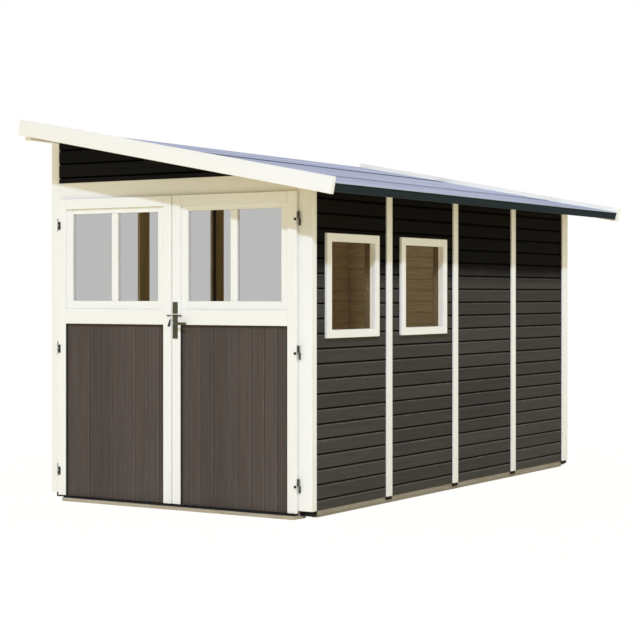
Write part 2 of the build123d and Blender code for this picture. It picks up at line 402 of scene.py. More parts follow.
@dataclass(frozen=True)
class Finish:
    """Base of the finishes: a named material on Object coordinates."""

    label: str

    def material(self, grain: Grain = Grain.X) -> Material:
        """Give the material for one grain direction, building it on first use.

        Args:
            grain: Direction of the grain.

        Returns:
            The material.
        """
        name = f"{self.label}_{grain.name.lower()}"
        found = bpy.data.materials.get(name)
        if found:
            return found
        material = bpy.data.materials.new(name)
        material.use_nodes = True
        tree = material.node_tree
        self.wire(tree, tree.nodes["Principled BSDF"], grain)
        return material

    def wire(self, tree: Tree, shader: Node, grain: Grain) -> None:
        """Fill the material with its nodes."""
        raise NotImplementedError

    @staticmethod
    def place(tree: Tree) -> Socket:
        """Give Object coordinates in metres."""
        return add_node(tree, "ShaderNodeTexCoord").outputs["Object"]

    @staticmethod
    def turned(tree: Tree, place: Socket, grain: Grain) -> Socket:
        """Turn the coordinates so that the grain runs along X."""
        feeds = {"Rotation": GRAIN_TURN[grain], "Vector": place}
        return add_node(tree, "ShaderNodeMapping", feeds).outputs[0]

    @staticmethod
    def tone(tree: Tree) -> Socket:
        """Give the tone of the board that a face belongs to, from 0 to 1."""
        return add_node(tree, "ShaderNodeAttribute", attribute_name=TONE).outputs["Fac"]

    @staticmethod
    def coat(tree: Tree, shader: Node, colour: Socket, roughness: Socket,
             specular: float) -> None:
        """Feed the shader its colour, roughness and specular level.

        Args:
            tree: Tree of the material.
            shader: Its Principled shader.
            colour: Colour over the surface.
            roughness: Roughness over the surface.
            specular: Uniform specular level.
        """
        for name, value in (("Base Color", colour), ("Roughness", roughness),
                            ("Specular IOR Level", specular)):
            feed(tree, shader.inputs[name], value)

    @staticmethod
    def bump(tree: Tree, shader: Node, height: Socket, distance: float,
             strength: float) -> None:
        """Feed a height to the shader's Normal.

        Args:
            tree: Tree of the material.
            shader: Its Principled shader.
            height: Height from 0 to 1.
            distance: Depth of the relief in metres.
            strength: Share of the relief that shows.
        """
        feeds = {"Distance": distance, "Strength": strength, "Height": height}
        join(tree, add_node(tree, "ShaderNodeBump", feeds).outputs[0], shader.inputs["Normal"])


@dataclass(frozen=True)
class PaintedTimber(Finish):
    """Cream-white paint over softwood: faint grain, a few dull patches, worn edges."""

    colour: Triple = (0.88, 0.872, 0.855)
    dull: Triple = (0.83, 0.81, 0.765)
    worn: Triple = (0.66, 0.60, 0.48)
    wear: float = 0.30
    dirt: Triple = (0.60, 0.54, 0.44)
    specular: float = 0.15

    def wire(self, tree: Tree, shader: Node, grain: Grain) -> None:
        """Mix paint, dull patches and worn edges, with the grain as relief."""
        place = self.place(tree)
        tone = self.tone(tree)
        wood = TimberGrain.place(tree, Place=self.turned(tree, place, grain), Tone=tone)
        patch = stretched_noise(tree, place, (1.3, 1.3, 1.3), 3.0, 0.5)
        streak = spread(tree, wood.outputs["Streak"], 0.48, 0.80, 0.0, 0.45)
        shade = math_node(tree, "ADD", spread(tree, patch, 0.45, 0.75, 0.0, 0.16), streak,
                          clamp=True)
        paint = mix_colour(tree, shade, self.colour, self.dull)
        dust = GroundDust.place(tree, Place=place, Reach=0.20, Amount=0.14)
        paint = mix_colour(tree, dust.outputs["Mask"], paint, self.dirt)
        wear = EdgeWear.place(tree, Place=place, Amount=self.wear)
        self.coat(tree, shader, mix_colour(tree, wear.outputs["Mask"], paint, self.worn),
                  spread(tree, wood.outputs["Streak"], 0.3, 0.7, 0.46, 0.60), self.specular)
        self.bump(tree, shader, wood.outputs["Height"], 0.0006, 0.5)


@dataclass(frozen=True)
class StainedBoards(Finish):
    """Dark wood stain with grain, a tone for each board and painted shade above a set height."""

    colour: Triple = (0.055, 0.052, 0.047)
    spread_of_tone: float = 0.12
    # Level and heights of the painted shade: above these heights the stain is scaled down to this
    # level.
    painted_shade_level: float = 1.0
    painted_shade_low: float = 5.0
    painted_shade_high: float = 6.0
    dirt: Triple = (0.13, 0.115, 0.09)
    specular: float = 0.004
    joint_depth: float = 0.93
    pale_share: float = 1.13
    deep_share: float = 0.85
    worn_and_highlight_share: float = 2.3

    def wire(self, tree: Tree, shader: Node, grain: Grain) -> None:
        """Mix the stain by board and grain, with painted shade above a set height where the roof
        keeps the sun off.
        """
        place = self.place(tree)
        tone = self.tone(tree)
        wood = TimberGrain.place(tree, Place=self.turned(tree, place, grain), Tone=tone)
        pale, deep, worn = (tuple(share * c for c in self.colour) for share in (
            self.pale_share, self.deep_share, self.worn_and_highlight_share))
        streak = spread(tree, wood.outputs["Streak"], 0.28, 0.72)
        stain = mix_colour(tree, streak, deep, pale)
        ring = math_node(tree, "MULTIPLY", wood.outputs["Ring"], 0.08)
        stain = mix_colour(tree, ring, stain, deep)
        # Worn colour on eased edges; on the boards the same mask takes the upper chamfer, so this
        # also paints a highlight along each board's upper edge.
        wear = EdgeWear.place(tree, Place=place, Amount=0.75, Even=0.6)
        stain = mix_colour(tree, wear.outputs["Mask"], stain, worn)
        low = 1.0 - self.spread_of_tone
        high = 1.0 + self.spread_of_tone
        level = spread(tree, tone, 0.0, 1.0, low, high)
        # Painted shade: above a ragged height line the stain is scaled down, standing in for the
        # shade under the eave.
        ragged = math_node(tree, "MULTIPLY", stretched_noise(tree, place, (3.0, 3.0, 3.0)), 0.05)
        edge = math_node(tree, "ADD", axes_of(tree, place)[2], ragged)
        painted_shade = spread(tree, edge, self.painted_shade_low, self.painted_shade_high, 1.0, self.painted_shade_level)
        level = math_node(tree, "MULTIPLY", level, painted_shade)
        joint = JointShade.place(tree, Depth=self.joint_depth)
        level = math_node(tree, "MULTIPLY", level, joint.outputs["Level"])
        whole = scale_colour(tree, stain, level)
        dust = GroundDust.place(tree, Place=place, Reach=0.30, Amount=0.16)
        self.coat(tree, shader, mix_colour(tree, dust.outputs["Mask"], whole, self.dirt),
                  spread(tree, wood.outputs["Streak"], 0.3, 0.7, 0.52, 0.70), self.specular)
        self.bump(tree, shader, wood.outputs["Height"], 0.0010, 0.6)


@dataclass(frozen=True)
class BareTimber(Finish):
    """Planed softwood without paint: rings, streaks and a few darker boards."""

    pale: Triple = (0.50, 0.40, 0.26)
    deep: Triple = (0.31, 0.22, 0.12)
    dirt: Triple = (0.36, 0.31, 0.24)
    specular: float = 0.25
    joint_depth: float = 0.30

    def wire(self, tree: Tree, shader: Node, grain: Grain) -> None:
        """Mix early and late wood by rings and streaks."""
        place = self.place(tree)
        tone = self.tone(tree)
        wood = TimberGrain.place(tree, Place=self.turned(tree, place, grain), Tone=tone)
        ring = math_node(tree, "MULTIPLY", wood.outputs["Ring"], 0.45)
        streak = spread(tree, wood.outputs["Streak"], 0.3, 0.75, 0.0, 0.55)
        late = math_node(tree, "ADD", ring, streak, clamp=True)
        timber = mix_colour(tree, late, self.pale, self.deep)
        darker = spread(tree, tone, 0.0, 1.0, 0.0, 0.30)
        timber = mix_colour(tree, darker, timber, self.deep)
        joint = JointShade.place(tree, Depth=self.joint_depth)
        timber = scale_colour(tree, timber, joint.outputs["Level"])
        dust = GroundDust.place(tree, Place=place, Reach=0.12, Amount=0.30)
        self.coat(tree, shader, mix_colour(tree, dust.outputs["Mask"], timber, self.dirt),
                  spread(tree, wood.outputs["Streak"], 0.3, 0.7, 0.58, 0.74), self.specular)
        self.bump(tree, shader, wood.outputs["Height"], 0.0008, 0.6)


@dataclass(frozen=True)
class RoofFelt(Finish):
    """Mineral felt in lapped strips: grit, wash streaks down the slope, dark lap lines; its blue
    cast is a painted sky reflection.
    """

    # Grey felt with a blue cast: partly the felt's own colour, partly a painted reflection of a
    # blue sky.
    colour: Triple = (0.54, 0.572, 0.735)
    deep: Triple = (0.36, 0.383, 0.515)
    seam_colour: Triple = (0.09, 0.10, 0.16)
    seam_strengths: tuple[float, float] = (0.45, 0.85)
    specular: float = 0.10

    def wire(self, tree: Tree, shader: Node, grain: Grain) -> None:
        """Mix grit and streaks, with a dark seam at each lap."""
        place = self.place(tree)
        grit = stretched_noise(tree, place, (620.0, 620.0, 620.0), 2.0, 0.7)
        streak = stretched_noise(tree, place, (1.1, 16.0, 1.0), 4.0, 0.6)
        cloud = stretched_noise(tree, place, (1.6, 1.6, 1.6), 3.0, 0.55)
        shade = math_node(tree, "ADD", spread(tree, grit, 0.35, 0.7, 0.0, 0.35),
                          spread(tree, streak, 0.4, 0.75, 0.0, 0.35))
        shade = math_node(tree, "ADD", shade, spread(tree, cloud, 0.4, 0.7, 0.0, 0.20))
        band = stretched_noise(tree, place, (5.0, 0.25, 1.0), 3.0, 0.6)
        shade = math_node(tree, "ADD", shade, spread(tree, band, 0.45, 0.62, -0.15, 0.45),
                          clamp=True)
        felt = mix_colour(tree, shade, self.colour, self.deep)
        across = axes_of(tree, place)[0]
        for lap, strength in zip(FELT_LAPS, self.seam_strengths):
            edge = EAVE_X - lap * math.cos(ROOF_PITCH)
            away = math_node(tree, "ABSOLUTE", math_node(tree, "SUBTRACT", across, edge))
            seam = spread(tree, away, 0.02, 0.11, strength, 0.0)
            felt = mix_colour(tree, seam, felt, self.seam_colour)
        self.coat(tree, shader, felt, spread(tree, grit, 0.3, 0.7, 0.80, 0.95), self.specular)
        self.bump(tree, shader, grit, 0.0010, 0.6)


@dataclass(frozen=True)
class DarkIron(Finish):
    """Olive-dark coated iron, a little rubbed on its edges."""

    colour: Triple = (0.080, 0.078, 0.042)
    rubbed: Triple = (0.26, 0.25, 0.18)
    metallic: float = 0.45
    specular: float = 0.5
    deep_share: float = 0.6

    def wire(self, tree: Tree, shader: Node, grain: Grain) -> None:
        """Mix the coat with rubbed edges and a fine mottling."""
        place = self.place(tree)
        mottle = stretched_noise(tree, place, (90.0, 90.0, 90.0), 4.0, 0.6)
        coat = mix_colour(tree, spread(tree, mottle, 0.35, 0.7), self.colour,
                          tuple(self.deep_share * c for c in self.colour))
        wear = EdgeWear.place(tree, Place=place, Amount=0.9)
        self.coat(tree, shader, mix_colour(tree, wear.outputs["Mask"], coat, self.rubbed),
                  spread(tree, mottle, 0.3, 0.7, 0.34, 0.55), self.specular)
        shader.inputs["Metallic"].default_value = self.metallic
        self.bump(tree, shader, mottle, 0.0003, 0.5)


@dataclass(frozen=True)
class WindowGlass(Finish):
    """Lightly tinted pane that lets the light through to the room."""

    tint: Triple = (0.49, 0.49, 0.485)
    shadow: Triple = (0.72, 0.73, 0.73)
    ior: float = 1.08

    def wire(self, tree: Tree, shader: Node, grain: Grain) -> None:
        """Let shadow rays pass through a tinted transparent shader."""
        smear = stretched_noise(tree, self.place(tree), (6.0, 6.0, 6.0), 4.0, 0.6)
        shader.inputs["Base Color"].default_value = (*self.tint, 1.0)
        shader.inputs["Transmission Weight"].default_value = 1.0
        shader.inputs["IOR"].default_value = self.ior
        join(tree, spread(tree, smear, 0.4, 0.7, 0.0, 0.03), shader.inputs["Roughness"])
        clear = add_node(tree, "ShaderNodeBsdfTransparent", {0: (*self.shadow, 1.0)})
        path = add_node(tree, "ShaderNodeLightPath")
        mix = add_node(tree, "ShaderNodeMixShader", {0: path.outputs["Is Shadow Ray"],
                                                     1: shader.outputs[0], 2: clear.outputs[0]})
        join(tree, mix.outputs[0], tree.nodes["Material Output"].inputs["Surface"])


WHITE_PAINT = PaintedTimber("white_paint_timber")
# Wall stain with painted shade: above 1.40 to 1.52 m it falls to 0.165 of its level, standing in
# for the shade under the eave, on the rear wall as well.
WALL_STAIN = StainedBoards("wall_stain", colour=(0.0620, 0.0565, 0.0512), painted_shade_level=0.165,
                           painted_shade_low=1.40, painted_shade_high=1.52)
# Near-black stain that paints shade: on the gable under the overhang and on other parts that stand
# in shade.
PAINTED_SHADE_STAIN = StainedBoards("painted_shade_stain", colour=(0.0128, 0.0130, 0.0152))
DOOR_STAIN = StainedBoards("door_stain", colour=(0.0895, 0.0718, 0.0637), spread_of_tone=0.10)
BEAD_STAIN = StainedBoards("bead_stain", colour=(0.034, 0.029, 0.025))
FASCIA_STAIN = StainedBoards("fascia_stain", colour=(0.0262, 0.0362, 0.0425))
BARE_TIMBER = BareTimber("bare_timber_planed", pale=(0.47, 0.42, 0.32), deep=(0.33, 0.28, 0.19))
BLACK_IRON = DarkIron("black_iron", colour=(0.018, 0.017, 0.013), rubbed=(0.10, 0.10, 0.07))
ROOM_TIMBER = BareTimber("room_timber", pale=(0.74, 0.62, 0.39), deep=(0.49, 0.385, 0.205))
# Cream copy of the white paint for the window reveals: painted warm shade in the recess.
REVEAL_PAINTED_SHADE = PaintedTimber("reveal_painted_shade", colour=(0.93, 0.85, 0.73),
                             dull=(0.87, 0.79, 0.66))
# Brighter, warmer copy of the white paint for the rear verge: painted light, making up for the
# bounce its top misses.
VERGE_PAINTED_LIGHT = PaintedTimber("verge_painted_light", colour=(0.99, 0.965, 0.86),
                            dull=(0.95, 0.92, 0.81))
RAIL_TIMBER = BareTimber("rail_timber", pale=(0.32, 0.285, 0.217), deep=(0.225, 0.19, 0.129))
# Darkened timber for the window liners: painted shade, so that the sunlit liner reads like the dim
# room behind the pane.
LINER_PAINTED_SHADE = BareTimber("liner_painted_shade", pale=(0.36, 0.255, 0.125), deep=(0.25, 0.17, 0.08))
# Brightened timber for the return boards: painted light on a face that little light reaches.
RETURN_PAINTED_LIGHT = BareTimber("return_painted_light", pale=(0.93, 0.79, 0.50), deep=(0.67, 0.53, 0.29))
FELT = RoofFelt("roof_felt")
IRON = DarkIron("coated_iron")
PALE_METAL = DarkIron("zinc_screws", colour=(0.62, 0.60, 0.52), rubbed=(0.75, 0.73, 0.66))
GLASS = WindowGlass("pane_glass")
SIDE_GLASS = WindowGlass("side_glass", tint=(0.575, 0.545, 0.50))


def mesh_of(name: str, solid: Solid) -> Mesh:
    """Turn a working solid into a mesh and free it.

    Args:
        name: Name of the mesh.
        solid: The solid, which is gone afterwards.

    Returns:
        The mesh.
    """
    mesh = bpy.data.meshes.new(name)
    solid.to_mesh(mesh)
    solid.free()
    return mesh


def link_object(name: str, mesh: Mesh) -> Piece:
    """Put a mesh in the scene as an object at the origin.

    Args:
        name: Name of the piece.
        mesh: Its mesh, with its place in the vertices.

    Returns:
        The object.
    """
    piece = bpy.data.objects.new(name, mesh)
    bpy.context.scene.collection.objects.link(piece)
    return piece


def baked_mesh(piece: Piece) -> Mesh:
    """Evaluate a piece's modifiers into a plain mesh and remove the piece.

    Args:
        piece: Object whose modifiers are wanted.

    Returns:
        The plain mesh.
    """
    bpy.context.view_layer.update()
    graph = bpy.context.evaluated_depsgraph_get()
    mesh = bpy.data.meshes.new_from_object(piece.evaluated_get(graph),
                                           preserve_all_data_layers=True, depsgraph=graph)
    bpy.data.objects.remove(piece)
    return mesh


def settle(piece: Piece, body: Body, slot: Slot, *nodes: str) -> Piece:
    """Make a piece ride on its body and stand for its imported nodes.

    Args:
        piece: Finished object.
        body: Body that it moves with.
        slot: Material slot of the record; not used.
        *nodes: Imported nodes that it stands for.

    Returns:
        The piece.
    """
    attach(piece, body.value)
    if nodes:
        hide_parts(*nodes)
    LOG.info("%s: %d faces on %s", piece.name, len(piece.data.polygons), body.value)
    return piece


def node_solid(node: str) -> Solid:
    """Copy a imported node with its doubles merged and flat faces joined.

    Args:
        node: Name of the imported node.

    Returns:
        The copy.
    """
    solid = bmesh.new()
    solid.from_mesh(bpy.data.objects[node].data)
    bmesh.ops.remove_doubles(solid, verts=solid.verts, dist=1e-5)
    bmesh.ops.dissolve_limit(solid, angle_limit=math.radians(0.5), verts=solid.verts,
                             edges=solid.edges)
    return solid


def islands(solid: Solid) -> list[list[bmesh.types.BMFace]]:
    """Part the faces of a mesh into its separate bodies.

    Args:
        solid: Mesh to part.

    Returns:
        One list of faces for each body.
    """
    left = set(solid.faces)
    found = []
    for seed in solid.faces:
        if seed not in left:
            continue
        left.discard(seed)
        stack, faces = [seed], []
        while stack:
            face = stack.pop()
            faces.append(face)
            for edge in face.edges:
                for other in edge.link_faces:
                    if other in left:
                        left.discard(other)
                        stack.append(other)
        found.append(faces)
    return found


def mark_edges(mesh: Mesh, mark: int) -> None:
    """Turn the slot that marks eased faces into an edge value, and give them their grain back.

    Args:
        mesh: Mesh whose eased faces hold the marking slot.
        mark: Index of that slot, the last one.
    """
    eased = [float(face.material_index == mark) for face in mesh.polygons]
    slots = [item.value for item in mesh.attributes[GRAIN_SLOT].data]
    mesh.attributes.remove(mesh.attributes[GRAIN_SLOT])
    edge = mesh.attributes.new(EDGE, "FLOAT", "FACE")
    edge.data.foreach_set("value", eased)
    mesh.polygons.foreach_set("material_index", slots)
    mesh.materials.pop(index=mark)


def recoat(piece: Piece, material: Material, front: float) -> None:
    """Give the faces in front of a line another coat.

    Args:
        piece: Finished piece.
        material: Material of the other coat.
        front: Y of the line.
    """
    piece.data.materials.append(material)
    for face in piece.data.polygons:
        if face.center.y < front:
            face.material_index = len(piece.data.materials) - 1


class TimberSet:
    """Separate timbers gathered into one piece, each with its own tone and grain."""

    def __init__(self, name: str, seed: int = 1) -> None:
        """Start an empty set.

        Args:
            name: Name of the piece to make.
            seed: Seed of the tones.
        """
        self.name = name
        self.solid = bmesh.new()
        self.draw = random.Random(seed)

    def box(self, low: Sequence[float], high: Sequence[float]) -> TimberSet:
        """Add one squared timber between two corners.

        Args:
            low: Lowest corner in metres.
            high: Highest corner in metres.

        Returns:
            The set itself.
        """
        made = bmesh.ops.create_cube(self.solid, size=1.0)["verts"]
        for vert in made:
            vert.co = Vector([low[i] + (vert.co[i] + 0.5) * (high[i] - low[i])
                              for i in range(3)])
        return self

    def node(self, *nodes: str) -> TimberSet:
        """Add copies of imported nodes.

        Args:
            *nodes: Names of the nodes.

        Returns:
            The set itself.
        """
        for name in nodes:
            mesh = mesh_of(name, node_solid(name))
            self.solid.from_mesh(mesh)
            bpy.data.meshes.remove(mesh)
        return self

    def prism(self, outline: Sequence[Sequence[float]], depth: Sequence[float]) -> TimberSet:
        """Add a timber with a flat outline, pushed along one direction.

        Args:
            outline: Corners of the outline.
            depth: Push from the outline to the far face.

        Returns:
            The set itself.
        """
        near = [self.solid.verts.new(point) for point in outline]
        far = [self.solid.verts.new(Vector(point) + Vector(depth)) for point in outline]
        faces = [self.solid.faces.new(near), self.solid.faces.new(far[::-1])]
        count = len(near)
        for i in range(count):
            j = (i + 1) % count
            faces.append(self.solid.faces.new((near[j], near[i], far[i], far[j])))
        bmesh.ops.recalc_face_normals(self.solid, faces=faces)
        return self

    def disc(self, centre: Sequence[float], radius: float, depth: Sequence[float],
             sides: int = 24) -> TimberSet:
        """Add a round boss whose outline stands in the XZ plane.

        Args:
            centre: Middle of its near face.
            radius: Its radius.
            depth: Push from the near face to the far face.
            sides: Facets of the outline.

        Returns:
            The set itself.
        """
        turns = [2 * math.pi * i / sides for i in range(sides)]
        return self.prism([(centre[0] + radius * math.cos(a), centre[1],
                            centre[2] + radius * math.sin(a)) for a in turns], depth)

    def slim(self, x: float, y: float, share: float) -> TimberSet:
        """Draw a barrel's vertices closer to its upright axis.

        Args:
            x: X of the axis.
            y: Y of the axis.
            share: Share of the radius that is left.

        Returns:
            The set itself.
        """
        for vert in self.solid.verts:
            away = Vector((vert.co.x - x, vert.co.y - y))
            if away.length < 1.01 * HINGE_RADIUS:
                vert.co.x, vert.co.y = x + share * away.x, y + share * away.y
        return self

    def cut(self, place: float) -> TimberSet:
        """Part every face along a plane square to Y, so that coats can change there.

        Args:
            place: Y of the plane.

        Returns:
            The set itself.
        """
        parts = [*self.solid.verts, *self.solid.edges, *self.solid.faces]
        bmesh.ops.bisect_plane(self.solid, geom=parts, plane_co=(0.0, place, 0.0),
                               plane_no=(0.0, 1.0, 0.0))
        return self

    def finish(self, finish: Finish, ease: float, segments: int = 2,
               smooth: bool = True) -> Piece:
        """Ease the edges and give every timber its grain and tone.

        Args:
            finish: Finish of the timbers.
            ease: Width of the eased edge in metres.
            segments: Facets of the eased edge.
            smooth: Shade the eased edges as one rounding.

        Returns:
            The finished piece.
        """
        layer = self.solid.faces.layers.float.new(TONE)
        slot_layer = self.solid.faces.layers.int.new(GRAIN_SLOT)
        used: list[Grain] = []
        for faces in islands(self.solid):
            points = [v.co for f in faces for v in f.verts]
            size = [max(p[i] for p in points) - min(p[i] for p in points) for i in range(3)]
            grain = Grain(size.index(max(size)))
            if grain not in used:
                used.append(grain)
            tone = self.draw.random()
            for face in faces:
                face[layer] = tone
                face[slot_layer] = used.index(grain)
                face.material_index = used.index(grain)
                face.smooth = smooth
        mesh = mesh_of(self.name, self.solid)
        for grain in (*used, used[0]):
            mesh.materials.append(finish.material(grain))
        draft = link_object(self.name + "_draft", mesh)
        bevel = draft.modifiers.new("eased edges", "BEVEL")
        bevel.width = ease
        bevel.segments = segments
        bevel.limit_method = "ANGLE"
        bevel.angle_limit = math.radians(25)
        bevel.harden_normals = smooth
        bevel.material = len(used)
        mesh = baked_mesh(draft)
        mark_edges(mesh, len(used))
        return link_object(self.name, mesh)


def dress(node: str, coat: Finish, ease: float, slot: Slot, seed: int = 1) -> None:
    """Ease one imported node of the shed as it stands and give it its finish.

    Args:
        node: Name of the node.
        coat: Its finish.
        ease: Width of the eased edges.
        slot: Material slot of the record.
        seed: Seed of the tones.
    """
    piece = TimberSet(f"dressed_{node}", seed).node(node).finish(coat, ease)
    settle(piece, Body.SHED, slot, node)


class BoardRow:
    """Geometry Nodes tree that lays boards in a row and cuts them to a panel."""

    label = "board row"
    takes = {**GEOMETRY, "Board": "NodeSocketObject", "Panel": "NodeSocketObject",
             "Count": "NodeSocketInt", "Start": "NodeSocketVector",
             "Step": "NodeSocketVector", "Outward": "NodeSocketVector",
             "Seed": "NodeSocketInt", "Face": "NodeSocketMaterial",
             "Back": "NodeSocketMaterial"}
    inner_limit = -0.5

    @classmethod
    def tree(cls) -> Tree:
        """Give the tree, building it on first use.

        Returns:
            The Geometry Nodes tree.
        """
        found = bpy.data.node_groups.get(cls.label)
        if found:
            return found
        tree, source, sink = start_group(cls.label, "GeometryNodeTree", cls.takes, GEOMETRY)
        given = source.outputs
        row = add_node(tree, "GeometryNodeMeshLine",
                       {"Count": given["Count"], "Start Location": given["Start"],
                        "Offset": given["Step"]}, mode="OFFSET")
        board, panel = (add_node(tree, "GeometryNodeObjectInfo", {"Object": given[name]},
                                 transform_space="ORIGINAL") for name in ("Board", "Panel"))
        laid = add_node(tree, "GeometryNodeInstanceOnPoints",
                        {"Points": row.outputs["Mesh"], "Instance": board.outputs["Geometry"]})
        draw = add_node(tree, "FunctionNodeRandomValue", {"Seed": given["Seed"]},
                        data_type="FLOAT")
        toned = add_node(tree, "GeometryNodeStoreNamedAttribute",
                         {"Name": ROW_TONE, "Geometry": laid.outputs[0],
                          "Value": draw.outputs[1]}, data_type="FLOAT", domain="INSTANCE")
        real = add_node(tree, "GeometryNodeRealizeInstances", {0: toned.outputs[0]})
        kept = add_node(tree, "GeometryNodeInputNamedAttribute", {"Name": ROW_TONE},
                        data_type="FLOAT")
        faced = add_node(tree, "GeometryNodeStoreNamedAttribute",
                         {"Name": TONE, "Geometry": real.outputs[0], "Value": kept.outputs[0]},
                         data_type="FLOAT", domain="FACE")
        cut = add_node(tree, "GeometryNodeMeshBoolean", operation="INTERSECT",
                       solver="MANIFOLD")
        for mesh in (faced.outputs[0], panel.outputs["Geometry"]):
            join(tree, mesh, cut.inputs["Mesh 2"])
        whole = add_node(tree, "GeometryNodeRealizeInstances", {0: cut.outputs[0]})
        fronted = add_node(tree, "GeometryNodeSetMaterial",
                           {"Geometry": whole.outputs[0], "Material": given["Face"]})
        normal = add_node(tree, "GeometryNodeInputNormal")
        dot = add_node(tree, "ShaderNodeVectorMath",
                       {0: normal.outputs[0], 1: given["Outward"]}, operation="DOT_PRODUCT")
        inner = add_node(tree, "FunctionNodeCompare",
                         {0: dot.outputs["Value"], 1: cls.inner_limit}, data_type="FLOAT",
                         operation="LESS_THAN")
        backed = add_node(tree, "GeometryNodeSetMaterial",
                          {"Geometry": fronted.outputs[0], "Selection": inner.outputs[0],
                           "Material": given["Back"]})
        join(tree, backed.outputs[0], sink.inputs[0])
        return tree


def set_inputs(modifier: bpy.types.Modifier, **values: object) -> None:
    """Set a Geometry Nodes modifier's inputs by their sockets' identifiers.

    Args:
        modifier: The modifier.
        **values: Values by the sockets' names.
    """
    for item in modifier.node_group.interface.items_tree:
        if item.item_type == "SOCKET" and item.in_out == "INPUT" and item.name in values:
            modifier[item.identifier] = values[item.name]


@dataclass
class BoardPanel:
    """One packed panel rebuilt from tongued boards with a V joint.

    Attributes:
        node: Packed panel that the boards are cut to.
        run: Direction of the boards.
        across: Direction from one board to the next.
        outward: Direction that the finished face looks in.
        pitch: Cover width of a board.
        phase: Place of one joint along the across direction.
        vee: Chamfer along the upper edge of a board.
        lip: Chamfer along its lower edge.
        slit: Half of the gap between two boards.
        tongue: Rise of a board's tongue behind the next one's edge.
        back_vee: Chamfer along both edges of the inner face.
        skin: Play that keeps boards from touching each other and the panel's faces.
        seed: Seed of the boards' tones.
    """

    node: str
    run: Vector
    across: Vector
    outward: Vector
    pitch: float = 0.0888
    phase: float = 0.107
    vee: float = 0.0080
    lip: float = 0.0034
    slit: float = 0.0044
    tongue: float = 0.0030
    back_vee: float = 0.0045
    skin: float = 0.0002
    seed: int = 3

    def board(self, length: float, thick: float) -> Piece:
        """Make the one board that the tree repeats.

        Args:
            length: Length of the board.
            thick: Its thickness.

        Returns:
            A draft object, with its lower edge at the origin and its face outward.
        """
        p, v, s, k, b = self.pitch, self.vee, self.slit, 0.5 * self.skin, self.lip
        c, g, t = self.back_vee, self.skin, self.tongue
        near, far = -0.45 * thick, -0.62 * thick
        section = [(p - s, -v), (p - s - v, 0.0), (s + b, 0.0), (s, -b), (s, near),
                   (t + k, near), (t + k, far), (k, far), (k, c - thick), (k + c, -thick),
                   (p - k - c, -thick), (p - k, c - thick), (p - k, far + g),
                   (p + t - k, far + g), (p + t - k, near - g), (p - s, near - g)]
        # Edge values by face: 1 on the upper chamfer paints a highlight through the edge-wear mask;
        # values below zero paint shade on the lower chamfer, the back chamfers and inside the
        # joint.
        shade_and_highlight_marks = {0: 1.0, 2: -0.6, 3: -1.0, 4: -1.0, 8: -0.7, 10: -0.7, 13: -1.0, 14: -1.0,
                 15: -1.0}
        solid = bmesh.new()
        edge = solid.faces.layers.float.new(EDGE)
        ends = []
        for side in (-0.5, 0.5):
            ends.append([solid.verts.new(self.across * a + self.outward * o
                                         + self.run * (side * length)) for a, o in section])
        start, end = ends
        solid.faces.new(start)
        solid.faces.new(end[::-1])
        for i in range(len(section)):
            j = (i + 1) % len(section)
            face = solid.faces.new((start[j], start[i], end[i], end[j]))
            face[edge] = shade_and_highlight_marks.get(i, 0.0)
        bmesh.ops.recalc_face_normals(solid, faces=solid.faces)
        return link_object("board_draft", mesh_of("board", solid))

    def build(self, name: str, face: Material, back: Material) -> Piece:
        """Lay the boards and cut them to the panel.

        Args:
            name: Name of the piece.
            face: Material of the outer face and edges.
            back: Material of the inner face.

        Returns:
            The finished piece.
        """
        solid = node_solid(self.node)
        points = [v.co.copy() for v in solid.verts]
        panel = link_object("panel_draft", mesh_of("panel", solid))
        reach = {}
        for key, axis in (("run", self.run), ("across", self.across),
                          ("outward", self.outward)):
            values = [p.dot(axis) for p in points]
            reach[key] = (min(values), max(values))
        length = reach["run"][1] - reach["run"][0] + 0.04
        thick = reach["outward"][1] - reach["outward"][0] - 2 * self.skin
        first = math.floor((reach["across"][0] - self.phase) / self.pitch)
        last = math.ceil((reach["across"][1] - self.phase) / self.pitch)
        start = (self.run * (0.5 * sum(reach["run"]))
                 + self.across * (self.phase + first * self.pitch)
                 + self.outward * (reach["outward"][1] - self.skin))
        board = self.board(length, thick)
        carrier = link_object(name + "_draft", bpy.data.meshes.new(name))
        modifier = carrier.modifiers.new("boards", "NODES")
        modifier.node_group = BoardRow.tree()
        set_inputs(modifier, Board=board, Panel=panel, Count=last - first, Start=tuple(start),
                   Step=tuple(self.across * self.pitch), Outward=tuple(self.outward),
                   Seed=self.seed, Face=face, Back=back)
        piece = link_object(name, baked_mesh(carrier))
        for draft in (board, panel):
            bpy.data.objects.remove(draft)
        return piece


